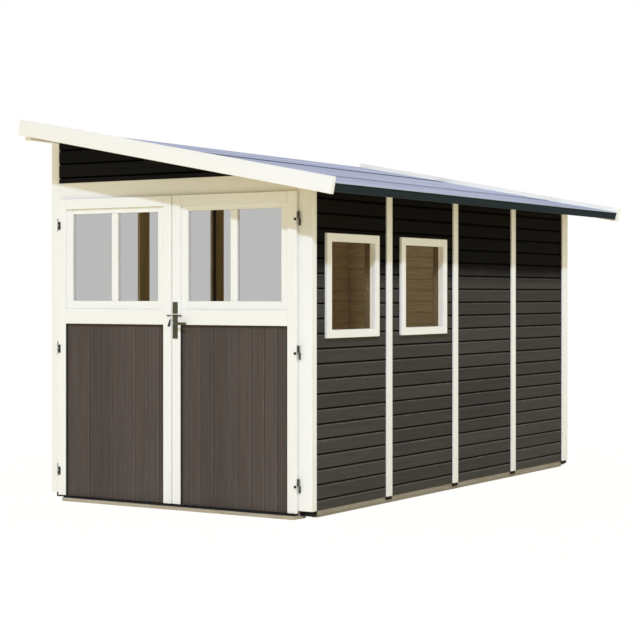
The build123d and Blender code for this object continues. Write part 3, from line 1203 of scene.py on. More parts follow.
class ScrewHeads:
    """Rows of small screw heads, set on points by a Geometry Nodes tree."""

    label = "screw heads"
    takes = {**GEOMETRY, "Head": "NodeSocketObject", "Facing": "NodeSocketVector",
             "Seed": "NodeSocketInt", "Coat": "NodeSocketMaterial"}

    def __init__(self, name: str, facing: Vector, radius: float = 0.0042) -> None:
        """Start without screws.

        Args:
            name: Name of the piece.
            facing: Axis that the heads look along.
            radius: Radius of a head.
        """
        self.name = name
        self.facing = facing
        self.radius = radius
        self.points: list[Vector] = []

    def row(self, start: Sequence[float], step: Vector, count: int) -> None:
        """Add evenly spaced screws.

        Args:
            start: First screw.
            step: Way from one to the next.
            count: How many.
        """
        self.points += [Vector(start) + step * i for i in range(count)]

    @classmethod
    def tree(cls) -> Tree:
        """Give the tree, building it on first use.

        Returns:
            The Geometry Nodes tree.
        """
        found = bpy.data.node_groups.get(cls.label)
        if found:
            return found
        tree, source, sink = start_group(cls.label, "GeometryNodeTree", cls.takes, GEOMETRY)
        given = source.outputs
        head = add_node(tree, "GeometryNodeObjectInfo", {"Object": given["Head"]},
                        transform_space="ORIGINAL")
        turn = add_node(tree, "FunctionNodeRandomValue", {3: 2 * math.pi, "Seed": given["Seed"]},
                        data_type="FLOAT")
        spin = add_node(tree, "ShaderNodeVectorMath",
                        {0: given["Facing"], "Scale": turn.outputs[1]}, operation="SCALE")
        laid = add_node(tree, "GeometryNodeInstanceOnPoints",
                        {"Points": given["Geometry"], "Instance": head.outputs["Geometry"],
                         "Rotation": spin.outputs[0]})
        real = add_node(tree, "GeometryNodeRealizeInstances", {0: laid.outputs[0]})
        coated = add_node(tree, "GeometryNodeSetMaterial",
                          {"Geometry": real.outputs[0], "Material": given["Coat"]})
        join(tree, coated.outputs[0], sink.inputs[0])
        return tree

    def head(self, sides: int = 12) -> Piece:
        """Make one domed head with a square socket.

        Args:
            sides: Facets of its rim.

        Returns:
            A draft object, with the head's foot just below the origin.
        """
        r = self.radius
        rings = [(r, -0.10 * r), (r, 0.10 * r), (0.80 * r, 0.30 * r), (0.46 * r, 0.40 * r),
                 (0.40 * r, 0.05 * r)]
        across = self.facing.orthogonal().normalized()
        along = self.facing.cross(across)
        solid = bmesh.new()
        loops = []
        for radius, rise in rings:
            loops.append([solid.verts.new(self.facing * rise + radius * (
                across * math.cos(2 * math.pi * i / sides)
                + along * math.sin(2 * math.pi * i / sides))) for i in range(sides)])
        for inner, outer in zip(loops[1:], loops):
            for i in range(sides):
                j = (i + 1) % sides
                solid.faces.new((outer[i], outer[j], inner[j], inner[i]))
        solid.faces.new(loops[0][::-1])
        solid.faces.new(loops[-1])
        bmesh.ops.recalc_face_normals(solid, faces=solid.faces)
        return link_object("screw_head_draft", mesh_of("screw_head", solid))

    def build(self, finish: Finish) -> Piece:
        """Set a head on every point.

        Args:
            finish: Finish of the heads.

        Returns:
            The finished piece.
        """
        mesh = bpy.data.meshes.new(self.name)
        mesh.from_pydata([tuple(point) for point in self.points], [], [])
        head = self.head()
        carrier = link_object(self.name + "_draft", mesh)
        modifier = carrier.modifiers.new("screws", "NODES")
        modifier.node_group = self.tree()
        set_inputs(modifier, Head=head, Facing=tuple(self.facing), Seed=len(self.points),
                   Coat=finish.material())
        piece = link_object(self.name, baked_mesh(carrier))
        bpy.data.objects.remove(head)
        return piece


@dataclass
class Groundwork:
    """Bearers, base frame, boarded floor and door sill."""

    ease: float = 0.0025
    floor_pitch: float = 0.096
    rail_end: float = -1.735
    packer_wide: float = 0.040
    packer_back: float = 0.003
    packer_in: float = 0.060
    packer_low: float = 0.005
    packer_gap: float = 0.0005
    sill_share: float = 0.96
    batten_back: float = 0.012
    batten_top: float = 0.0305
    screw_step: float = 0.155
    screw_in: float = 0.06
    screw_share: float = 0.60

    def build(self) -> None:
        """Ease the ground timbers and lay the floor."""
        dress("floor_bearers", BARE_TIMBER, self.ease, Slot.BARE)
        rails = TimberSet("dressed_base_frame").node("base_frame").cut(self.rail_end)
        piece = rails.finish(RAIL_TIMBER, self.ease)
        # The rail's front end, under the jamb, takes the near-black stain: painted shade for the
        # dark gap under the jamb.
        recoat(piece, PAINTED_SHADE_STAIN.material(Grain.Y), self.rail_end)
        settle(piece, Body.SHED, Slot.BARE, "base_frame")
        low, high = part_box("base_frame")
        packer = TimberSet("rail_packer").box(
            (high.x - self.packer_wide, low.y + self.packer_in, self.packer_low),
            (high.x - self.packer_back, high.y - self.packer_in, low.z - self.packer_gap))
        settle(packer.finish(RAIL_TIMBER, SMALL_EASE), Body.SHED, Slot.BARE)
        low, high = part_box("door_sill")
        line = low.z + self.sill_share * (high.z - low.z)
        sill = TimberSet("dressed_door_sill").box(low, (high.x, high.y, line))
        settle(sill.finish(BARE_TIMBER, self.ease), Body.SHED, Slot.BARE, "door_sill")
        # A dark batten behind the sill's front edge paints the shade in the gap under the doors.
        batten = TimberSet("sill_batten").box((low.x, low.y + self.batten_back, line),
                                              (high.x, high.y, self.batten_top))
        settle(batten.finish(PAINTED_SHADE_STAIN, self.ease), Body.SHED, Slot.STAIN)
        screws = ScrewHeads("sill_screws", -AXIS_Y)
        screws.row((low.x + self.screw_in, low.y, self.screw_share * line),
                   AXIS_X * self.screw_step,
                   int((high.x - low.x - self.screw_in) / self.screw_step) + 1)
        settle(screws.build(PALE_METAL), Body.SHED, Slot.IRON)
        low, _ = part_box("floor_deck")
        boards = BoardPanel("floor_deck", AXIS_Y, AXIS_X, AXIS_Z, self.floor_pitch, low.x,
                            vee=0.0015, lip=0.0015, slit=0.0006)
        bare = BARE_TIMBER.material(Grain.Y)
        settle(boards.build("floor_boards", bare, bare), Body.SHED, Slot.BARE, "floor_deck")


@dataclass
class SideWall:
    """Boarded low side with its studs, plate and white cover strips."""

    panels: int = 4
    ease: float = 0.0025
    foot_back: float = 0.003
    foot_gap: float = 0.0005
    foot_in: float = 0.004
    foot_high: float = 0.020
    corner_in: float = 0.042
    screw_start: float = 0.10
    screw_step: float = 0.43
    screw_count: int = 5

    def build(self) -> None:
        """Lay the boards of each bay and set the timbers round them."""
        face = WALL_STAIN.material(Grain.Y)
        back = ROOM_TIMBER.material(Grain.Y)
        for index in range(1, self.panels + 1):
            node = f"right_panel_{index}"
            boards = BoardPanel(node, AXIS_Y, AXIS_Z, AXIS_X, seed=10 + index)
            settle(boards.build(f"side_boards_{index}", face, back), Body.SHED, Slot.STAIN, node)
        for node in ("wall_studs", "low_wall_plate"):
            dress(node, ROOM_TIMBER, self.ease, Slot.BARE)
        node = "right_cover_strips"
        strips = TimberSet(f"dressed_{node}").node(node)
        # Dark blocks under the strips' lower ends paint the shadow that each strip casts on the
        # rail.
        shade_blocks = TimberSet("strip_feet")
        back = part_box("base_frame")[1].x
        for faces in islands(strips.solid):
            points = [vert.co for face in faces for vert in face.verts]
            y0, y1 = min(p.y for p in points), max(p.y for p in points)
            front = max(p.x for p in points) - self.foot_back
            foot = min(p.z for p in points) - self.foot_gap
            shade_blocks.box((back, y0 + self.foot_in, foot - self.foot_high),
                     (front, y1 - self.foot_in, foot))
        settle(strips.finish(WHITE_PAINT, self.ease), Body.SHED, Slot.WHITE, node)
        settle(shade_blocks.finish(PAINTED_SHADE_STAIN, SMALL_EASE), Body.SHED, Slot.STAIN)
        screws = ScrewHeads("strip_screws", AXIS_X)
        low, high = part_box(node)
        lines = [0.5 * (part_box(f"right_panel_{i}")[1].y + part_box(f"right_panel_{i + 1}")[0].y)
                 for i in range(1, self.panels)]
        for line in (*lines, high.y - self.corner_in):
            screws.row((high.x, line, low.z + self.screw_start), AXIS_Z * self.screw_step,
                       self.screw_count)
        settle(screws.build(WHITE_PAINT), Body.SHED, Slot.WHITE)


@dataclass
class SideWindows:
    """Two fixed windows, each with four trim boards, a painted reveal, a liner and a pane."""

    trim: float = 0.020
    lap: float = 0.020
    joint: float = 0.0004
    ease: float = 0.003
    inner_ease: float = 0.001

    def ring(self, timbers: TimberSet, low: Vector, high: Vector, side: float,
             level: float) -> TimberSet:
        """Add four boards round an opening, uprights full height.

        Args:
            timbers: Set that takes the boards.
            low: Lowest corner of the ring.
            high: Its highest corner.
            side: Face width of the uprights.
            level: Face width of the level boards.

        Returns:
            The set.
        """
        gap = self.joint
        timbers.box(low, (high.x, low.y + side, high.z))
        timbers.box((low.x, high.y - side, low.z), high)
        for z0, z1 in ((low.z, low.z + level), (high.z - level, high.z)):
            timbers.box((low.x, low.y + side + gap, z0), (high.x, high.y - side - gap, z1))
        return timbers

    def build(self) -> None:
        """Set trim, reveal and liner of each window, then glaze both."""
        pane_low, pane_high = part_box("window_panes")
        for index in (1, 2):
            node = f"window_{index}_frame"
            low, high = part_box(node)
            level = pane_low.z - low.z
            side = (pane_low.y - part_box("window_1_frame")[0].y)
            wall = high.x - self.trim
            lap = Vector((0.0, self.lap, self.lap))
            trim = self.ring(TimberSet(f"dressed_{node}", seed=index), Vector((wall, low.y, low.z)),
                             high, side, level)
            settle(trim.finish(WHITE_PAINT, self.ease), Body.SHED, Slot.WHITE, node)
            # The reveal takes a cream copy of the white as painted shade; the liner takes a
            # darkened timber as painted shade.
            for name, x0, x1, coat in (("reveal", pane_high.x, wall, REVEAL_PAINTED_SHADE),
                                       ("liner", low.x, pane_high.x, LINER_PAINTED_SHADE)):
                near = Vector((x0, low.y, low.z)) + lap
                far = Vector((x1, high.y, high.z)) - lap
                part = self.ring(TimberSet(f"window_{index}_{name}", seed=index + 7), near, far,
                                 side - self.lap, level - self.lap)
                slot = Slot.WHITE if coat is REVEAL_PAINTED_SHADE else Slot.BARE
                settle(part.finish(coat, self.inner_ease), Body.SHED, slot)
        glaze("window_panes", Body.SHED, SIDE_GLASS)


def glaze(node: str, body: Body, glass: Finish) -> None:
    """Seat packed panes in the rebates of their bars.

    Args:
        node: Packed panes.
        body: Body that they ride on.
        glass: Finish of the panes.
    """
    panes = TimberSet(f"glass_of_{node}").node(node)
    for faces in islands(panes.solid):
        verts = {vert for face in faces for vert in face.verts}
        middle = sum((vert.co for vert in verts), Vector()) / len(verts)
        reach = [max(abs(vert.co[i] - middle[i]) for vert in verts) for i in range(3)]
        for axis in range(3):
            if axis == reach.index(min(reach)):
                continue
            for vert in verts:
                vert.co[axis] += math.copysign(PANE_REBATE, vert.co[axis] - middle[axis])
    settle(panes.finish(glass, PANE_EASE, 1, smooth=False), body, Slot.GLASS, node)


@dataclass
class FrontWall:
    """White jambs and header with the gable over the doors, its boards in painted shade."""

    ease: float = 0.003

    def build(self) -> None:
        """Ease the white timbers and board the gable."""
        for node in ("front_left_jamb", "front_right_jamb", "front_header"):
            dress(node, WHITE_PAINT, self.ease, Slot.WHITE)
        node = "front_gable_panel"
        # The gable boards take the near-black stain, painted shade for the shade under the roof's
        # overhang.
        boards = BoardPanel(node, AXIS_X, AXIS_Z, -AXIS_Y, seed=21)
        piece = boards.build("gable_boards", PAINTED_SHADE_STAIN.material(Grain.X),
                             ROOM_TIMBER.material(Grain.X))
        settle(piece, Body.SHED, Slot.STAIN, node)


@dataclass
class RearWall:
    """Boarded rear wall with three white cover strips."""

    ease: float = 0.0025

    def build(self) -> None:
        """Lay the boards and set the strips."""
        node = "rear_panel"
        boards = BoardPanel(node, AXIS_X, AXIS_Z, AXIS_Y, seed=31)
        piece = boards.build("rear_boards", WALL_STAIN.material(Grain.X),
                             ROOM_TIMBER.material(Grain.X))
        settle(piece, Body.SHED, Slot.STAIN, node)
        dress("rear_cover_strips", WHITE_PAINT, self.ease, Slot.WHITE)


@dataclass
class OpenSide:
    """Posts and boarded return of the open high side, and the purlins over the room."""

    ease: float = 0.003
    front_line: float = -1.7925
    fillet: float = 0.012
    shade_fillet: float = 0.027
    strip: float = 0.022

    def build(self) -> None:
        """Ease the posts and purlins, board the return and coat the purlins' front ends."""
        for index in (1, 2, 3):
            dress(f"left_post_{index}", ROOM_TIMBER, self.ease, Slot.BARE, seed=index)
        node = "left_rear_post"
        boards = BoardPanel(node, AXIS_Y, AXIS_Z, -AXIS_X, seed=61)
        # The return boards take a brightened timber: painted light.
        timber = RETURN_PAINTED_LIGHT.material(Grain.Y)
        settle(boards.build("return_boards", timber, timber), Body.SHED, Slot.BARE, node)
        self.fillets()
        # The middle purlin's front end, under the verge, takes the near-black stain as painted
        # shade; the high purlin's front end is painted white.
        for node, coat in (("high_purlin", WHITE_PAINT), ("middle_purlin", PAINTED_SHADE_STAIN)):
            timbers = TimberSet(f"dressed_{node}").node(node).cut(self.front_line)
            piece = timbers.finish(ROOM_TIMBER, self.ease)
            recoat(piece, coat.material(Grain.Y), self.front_line)
            settle(piece, Body.SHED, Slot.BARE, node)

    def fillets(self) -> None:
        """Set a fillet beside the first post, and a dark one with a white edge by the second; the
        dark one is painted shade for the post's shaded front face.
        """
        low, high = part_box("left_post_1")
        fillet = TimberSet("post_1_fillet").box((low.x, high.y, low.z),
                                                (high.x, high.y + self.fillet, high.z))
        settle(fillet.finish(ROOM_TIMBER, self.ease), Body.SHED, Slot.BARE)
        low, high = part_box("left_post_2")
        line = low.y - self.shade_fillet
        # Dark fillet in front of the second post: painted shade for the post's shaded front face.
        fillet = TimberSet("post_2_fillet").box((low.x, line, low.z), (high.x, low.y, high.z))
        settle(fillet.finish(DOOR_STAIN, self.ease), Body.SHED, Slot.STAIN)
        strip = TimberSet("post_2_strip").box((low.x, line - self.strip, low.z),
                                              (0.5 * (low.x + high.x), line, high.z))
        settle(strip.finish(WHITE_PAINT, self.ease), Body.SHED, Slot.WHITE)


@dataclass
class Roof:
    """Boarded deck, lapped felt, eave fascia and white verge boards.

    Attributes:
        pitch: Slope of the roof.
        eave: X and Z of the slope's start at the eave.
        span: Start and end of the felt along the slope.
        under: Depth of the felt's underside below the slope line.
        thick: Thickness of the felt at a lap.
        thin: How far its surface falls between two laps.
        laps: Places of the laps along the slope.
    """

    pitch: float = ROOF_PITCH
    eave: tuple[float, float] = (EAVE_X, 1.973)
    span: tuple[float, float] = (0.015, 2.3574)
    under: float = 0.037
    thick: float = 0.006
    thin: float = 0.0028
    laps: tuple[float, ...] = FELT_LAPS
    ease: float = 0.003
    felt_ease: float = 0.0006

    def slope_point(self, along: float, above: float, y: float) -> Vector:
        """Give a point by its way up the slope and its height square to it.

        Args:
            along: Way up the slope from the eave.
            above: Height square to the slope.
            y: Place along the eave.

        Returns:
            The point.
        """
        return Vector((self.eave[0] - along * math.cos(self.pitch) + above * math.sin(self.pitch),
                       y, self.eave[1] + along * math.sin(self.pitch)
                       + above * math.cos(self.pitch)))

    def felt(self) -> TimberSet:
        """Give the felt as one sheet that steps down at each lap.

        Returns:
            The set that holds it.
        """
        low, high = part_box("roof_sheet")
        top = self.thick - self.under
        bounds = (self.span[0], *self.laps, self.span[1])
        outline = [(self.span[1], -self.under), (self.span[0], -self.under)]
        for start, end in zip(bounds, bounds[1:]):
            outline += [(start, top), (end, top - self.thin)]
        points = [self.slope_point(along, above, low.y) for along, above in outline]
        return TimberSet("felt_sheet").prism(points, (0.0, high.y - low.y, 0.0))

    def build(self) -> None:
        """Lay deck and felt, then set the boards round their edges."""
        down = Vector((math.cos(self.pitch), 0.0, -math.sin(self.pitch)))
        under = Vector((-math.sin(self.pitch), 0.0, -math.cos(self.pitch)))
        bare = ROOM_TIMBER.material(Grain.X)
        boards = BoardPanel("roof_deck", down, AXIS_Y, under, 0.0888, 0.0, vee=0.0030,
                            lip=0.0030, slit=0.0008, seed=41)
        settle(boards.build("roof_deck_boards", bare, bare), Body.SHED, Slot.BARE, "roof_deck")
        settle(self.felt().finish(FELT, self.felt_ease, 1), Body.SHED, Slot.ROOF, "roof_sheet")
        dress("eave_fascia", FASCIA_STAIN, self.ease, Slot.STAIN)
        dress("front_verge_board", WHITE_PAINT, self.ease, Slot.WHITE)
        # The rear verge takes a brightened copy of the white paint: painted light.
        dress("rear_verge_board", VERGE_PAINTED_LIGHT, self.ease, Slot.WHITE)


def hinge_axes() -> tuple[tuple[float, float], tuple[float, float]]:
    """Give X and Y of the left and right hinge axes.

    Returns:
        Both axes.
    """
    low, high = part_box("hinge_pins")
    return ((low.x + HINGE_RADIUS, low.y + HINGE_RADIUS),
            (high.x - HINGE_RADIUS, low.y + HINGE_RADIUS))


@dataclass
class DoorLeaf:
    """One door leaf: white frame, dark boards below, recessed two-light sash above.

    Attributes:
        side: Prefix of the leaf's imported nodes.
        body: Body that the leaf rides on.
        first_joint: Place of one board joint.
    """

    side: str
    body: Body
    first_joint: float
    board_pitch: float = 0.0927
    ease: float = 0.003
    sash_ease: float = 0.0025
    joint: float = 0.0003
    bead: float = 0.0060
    bead_back: float = 0.003
    hinge_shares: tuple[float, ...] = (0.0853, 0.4984, 0.9142)
    leaf_low: float = 0.034
    leaf_high: float = 1.888
    plate_in: float = 0.0130
    plate_wide: float = 0.015
    stud_in: float = 0.0045
    stud_down: float = 0.004
    stud_radius: float = 0.0078
    plate_down: float = 0.032
    plate_up: float = 0.020
    plate_deep: float = 0.003
    plate_ease: float = 0.0012
    stud_sink: float = 0.001
    stud_deep: float = 0.009
    bolts: tuple[tuple[float, float], ...] = ((-0.016, 0.0085), (0.011, 0.0070))
    bolt_deep: float = 0.0045

    def build(self) -> None:
        """Make frame, boards, sash, panes and hinges of the leaf."""
        low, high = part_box(f"{self.side}_frame")
        board_low, board_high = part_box(f"{self.side}_boards")
        sash_low, sash_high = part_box(f"{self.side}_sash")
        gap = self.joint
        frame = TimberSet(f"{self.side}_stiles_and_rails", seed=5)
        frame.box(low, (board_low.x, high.y, high.z))
        frame.box((board_high.x, low.y, low.z), high)
        for z0, z1 in ((board_high.z, sash_low.z), (sash_high.z, high.z)):
            frame.box((board_low.x + gap, low.y, z0), (board_high.x - gap, high.y, z1))
        settle(frame.finish(WHITE_PAINT, self.ease), self.body, Slot.WHITE, f"{self.side}_frame")

        node = f"{self.side}_boards"
        boards = BoardPanel(node, AXIS_Z, AXIS_X, -AXIS_Y, self.board_pitch, self.first_joint,
                            vee=0.0028, lip=0.0028, slit=0.0010, seed=51)
        piece = boards.build(f"{self.side}_tongued_boards", DOOR_STAIN.material(Grain.Z),
                             ROOM_TIMBER.material(Grain.Z))
        settle(piece, self.body, Slot.STAIN, node)
        self.beads(Vector((board_low.x, low.y, board_low.z)),
                   Vector((board_high.x, board_low.y, board_high.z)))

        pane_low, pane_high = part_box(f"{self.side}_panes")
        bar = pane_low.x - sash_low.x
        sash = TimberSet(f"{self.side}_sash_bars", seed=6)
        sash.box(sash_low, (pane_low.x, sash_high.y, sash_high.z))
        sash.box((pane_high.x, sash_low.y, sash_low.z), sash_high)
        for z0, z1 in ((sash_low.z, pane_low.z), (pane_high.z, sash_high.z)):
            sash.box((pane_low.x + gap, sash_low.y, z0), (pane_high.x - gap, sash_high.y, z1))
        middle = 0.5 * (pane_low.x + pane_high.x)
        sash.box((middle - bar / 2, sash_low.y, pane_low.z + gap),
                 (middle + bar / 2, sash_high.y, pane_high.z - gap))
        piece = sash.finish(WHITE_PAINT, self.sash_ease)
        settle(piece, self.body, Slot.WHITE, f"{self.side}_sash")
        glaze(f"{self.side}_panes", self.body, GLASS)

        node = f"{self.side}_hinges"
        barrels = TimberSet(f"dressed_{node}").node(node)
        for axis in hinge_axes():
            barrels.slim(*axis, BARREL_SHARE)
        settle(barrels.finish(IRON, IRON_EASE), self.body, Slot.IRON, node)
        self.hinge_plates(low.y)

    def beads(self, low: Vector, high: Vector) -> None:
        """Set a dark bead in the corner between the frame and its boards.

        Args:
            low: Lowest corner of the recess.
            high: Its highest corner.
        """
        wide, gap = self.bead, self.joint
        front = low.y + self.bead_back
        beads = TimberSet(f"{self.side}_beads", seed=8)
        beads.box((low.x, front, low.z), (low.x + wide, high.y, high.z))
        beads.box((high.x - wide, front, low.z), (high.x, high.y, high.z))
        beads.box((low.x + wide + gap, front, high.z - wide),
                  (high.x - wide - gap, high.y, high.z))
        settle(beads.finish(BEAD_STAIN, SMALL_EASE), self.body, Slot.STAIN)

    def hinge_plates(self, face: float) -> None:
        """Set a black stud, or a two-bolt plate on the left leaf, beside each barrel.

        Args:
            face: Y of the leaf's face.
        """
        plates = TimberSet(f"{self.side}_hinge_plates", seed=9)
        low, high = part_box(f"{self.side}_hinges")
        half = 0.5 * self.plate_wide
        for share in self.hinge_shares:
            z = self.leaf_low + share * self.leaf_high
            if self.side.startswith("right"):
                plates.disc((low.x - self.stud_in, face + self.stud_sink, z - self.stud_down),
                            self.stud_radius, (0.0, -self.stud_deep, 0.0), 20)
                continue
            x, front = high.x + self.plate_in, face - self.plate_deep
            plates.box((x - half, front, z - self.plate_down), (x + half, face, z + self.plate_up))
            for rise, radius in self.bolts:
                plates.disc((x, front, z + rise), radius, (0.0, -self.bolt_deep, 0.0), 16)
        settle(plates.finish(BLACK_IRON, self.plate_ease), self.body, Slot.IRON)


@dataclass
class Ironwork:
    """Hinge pins on the jambs, and the lock furniture of the meeting stiles.

    Attributes:
        ease: Width of the eased edges.
        cylinder_drop: Depth of the lock cylinder below the plate's top.
        split_drop: Depth of the split between the plate's two lengths.
        split: Height of that split.
        bar_drop: Depth of the latch bar below the plate's top.
        bar_half: Half the height of the latch bar.
        bar_reach: How far the bar runs past the plate.
        neck: Bends of the lever's neck, as (X, Y) from the spindle at the plate's face.
        lever_radius: Half the thickness of the lever.
        lever_tall: Height of the lever's section against its thickness.
        rose: Radius and rise of the lever's rose.
        cylinder: Radius and rise of the lock cylinder.
        key: Half width, rise and drop of the keyway below the cylinder.
        screw: Radius and rise of a plate screw.
        screw_in: Distance of the screws from the plate's ends.
        bar_out: How far the latch bar and its keeper stand out.
        bar_gap: Gap between the latch bar and the plate's face.
        stop: Start and end of the bar's stop past the plate.
        stop_sink: How far the stop reaches into the bar.
        stop_half: Half the height of the stop.
        keeper_in: Distance of the keeper from the leaf's edge.
        keeper_wide: Width of the keeper.
        tail: Corners of the keeper's tail, as (X, Z) from its edge.
    """

    ease: float = 0.0012
    cylinder_drop: float = 0.172
    split_drop: float = 0.0735
    split: float = 0.006
    bar_drop: float = 0.083
    bar_half: float = 0.0032
    bar_reach: float = 0.034
    neck: tuple[tuple[float, float], ...] = (
        (0.0, 0.003), (0.003, -0.012), (0.014, -0.026), (0.032, -0.0360), (0.055, -0.0376),
        (0.082, -0.0380), (0.1095, -0.0370))
    lever_radius: float = 0.0056
    lever_tall: float = 1.55
    rose: tuple[float, float] = (0.0145, 0.0045)
    cylinder: tuple[float, float] = (0.0085, 0.0035)
    key: Triple = (0.005, 0.0033, 0.024)
    screw: tuple[float, float] = (0.0040, 0.0014)
    screw_in: float = 0.014
    bar_out: float = 0.006
    bar_gap: float = 0.001
    stop: tuple[float, float] = (0.008, 0.018)
    stop_sink: float = 0.002
    stop_half: float = 0.004
    keeper_in: float = 0.001
    keeper_wide: float = 0.030
    tail: tuple[tuple[float, float], ...] = (
        (-0.006, -0.020), (0.0, -0.026), (-0.007, -0.067), (-0.024, -0.065))

    def build(self) -> None:
        """Dress pins, plate and lever and set each on its body."""
        pins = TimberSet("dressed_hinge_pins").node("hinge_pins")
        for axis in hinge_axes():
            pins.slim(*axis, BARREL_SHARE)
        settle(pins.finish(IRON, IRON_EASE), Body.SHED, Slot.IRON, "hinge_pins")
        low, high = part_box("lock_plate")
        settle(self.plate(low, high).finish(IRON, IRON_EASE), Body.RIGHT_DOOR, Slot.IRON,
               "lock_plate")
        self.latch(low, high)
        settle(self.lever(low), Body.LEVER, Slot.IRON, "lever")

    def plate(self, low: Vector, high: Vector) -> TimberSet:
        """Crown the long plate and set rose, cylinder and screws on it.

        Args:
            low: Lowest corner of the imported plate.
            high: Its highest corner.

        Returns:
            The set that holds them.
        """
        wide, deep = high.x - low.x, high.y - low.y
        crown = ((0.0, 0.0), (1.0, 0.0), (1.0, 0.40), (0.86, 0.84), (0.64, 1.0), (0.36, 1.0),
                 (0.14, 0.84), (0.0, 0.40))
        plate = TimberSet("dressed_lock_plate")
        split = high.z - self.split_drop
        for z0, z1 in ((low.z, split - 0.5 * self.split), (split + 0.5 * self.split, high.z)):
            plate.prism([(low.x + a * wide, high.y - b * deep, z0) for a, b in crown],
                        (0.0, 0.0, z1 - z0))
        x = 0.5 * (low.x + high.x)
        z = 0.5 * (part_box("lever")[0].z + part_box("lever")[1].z)
        plate.disc((x, low.y, z), self.rose[0], (0.0, -self.rose[1], 0.0), 32)
        z = high.z - self.cylinder_drop
        plate.disc((x, low.y, z), self.cylinder[0], (0.0, -self.cylinder[1], 0.0), 28)
        half, rise, drop = self.key
        plate.box((x - half, low.y - rise, z - drop), (x + half, low.y, z))
        for end in (low.z + self.screw_in, high.z - self.screw_in):
            plate.disc((x, low.y, end), self.screw[0], (0.0, -self.screw[1], 0.0), 14)
        return plate

    def latch(self, low: Vector, high: Vector) -> None:
        """Set the slim latch bar on the right leaf and its keeper on the left leaf.

        Args:
            low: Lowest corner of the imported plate.
            high: Its highest corner.
        """
        z = high.z - self.bar_drop
        face = high.y
        bar = TimberSet("latch_bar")
        bar.box((low.x, low.y - self.bar_out, z - self.bar_half),
                (high.x + self.bar_reach, low.y - self.bar_gap, z + self.bar_half))
        bar.box((high.x + self.stop[0], low.y - self.stop_sink, z - self.stop_half),
                (high.x + self.stop[1], face, z + self.stop_half))
        settle(bar.finish(IRON, self.ease), Body.RIGHT_DOOR, Slot.IRON)
        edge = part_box("left_leaf_frame")[1].x - self.keeper_in
        keeper = TimberSet("latch_keeper")
        keeper.box((edge - self.keeper_wide, face - self.bar_out, z - self.bar_half),
                   (edge, face, z + self.bar_half))
        keeper.prism([(edge + a, face, z + b) for a, b in self.tail], (0.0, -self.bar_out, 0.0))
        settle(keeper.finish(BLACK_IRON, self.ease), Body.LEFT_DOOR, Slot.IRON)

    def lever(self, plate_low: Vector) -> Piece:
        """Sweep the bent lever along its neck.

        Args:
            plate_low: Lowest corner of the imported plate, on its front face.

        Returns:
            The finished lever.
        """
        low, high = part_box("lever")
        z = 0.5 * (low.z + high.z)
        x = 0.5 * (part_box("lock_plate")[0].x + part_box("lock_plate")[1].x)
        curve = bpy.data.curves.new("lever_path", "CURVE")
        curve.dimensions = "3D"
        curve.bevel_depth = self.lever_radius
        curve.bevel_resolution = 4
        curve.use_fill_caps = True
        spline = curve.splines.new("NURBS")
        spline.points.add(len(self.neck) - 1)
        for point, (along, out) in zip(spline.points, self.neck):
            point.co = (x + along, plate_low.y + out, 0.0, 1.0)
        spline.order_u = 3
        spline.use_endpoint_u = True
        spline.resolution_u = 8
        path = bpy.data.objects.new("lever_path", curve)
        bpy.context.scene.collection.objects.link(path)
        mesh = baked_mesh(path)
        bar = TimberSet("dressed_lever")
        bar.solid.from_mesh(mesh)
        bpy.data.meshes.remove(mesh)
        bmesh.ops.remove_doubles(bar.solid, verts=bar.solid.verts, dist=1e-6)
        bmesh.ops.recalc_face_normals(bar.solid, faces=bar.solid.faces)
        for vert in bar.solid.verts:
            vert.co.z = z + self.lever_tall * vert.co.z
        return bar.finish(IRON, IRON_EASE)


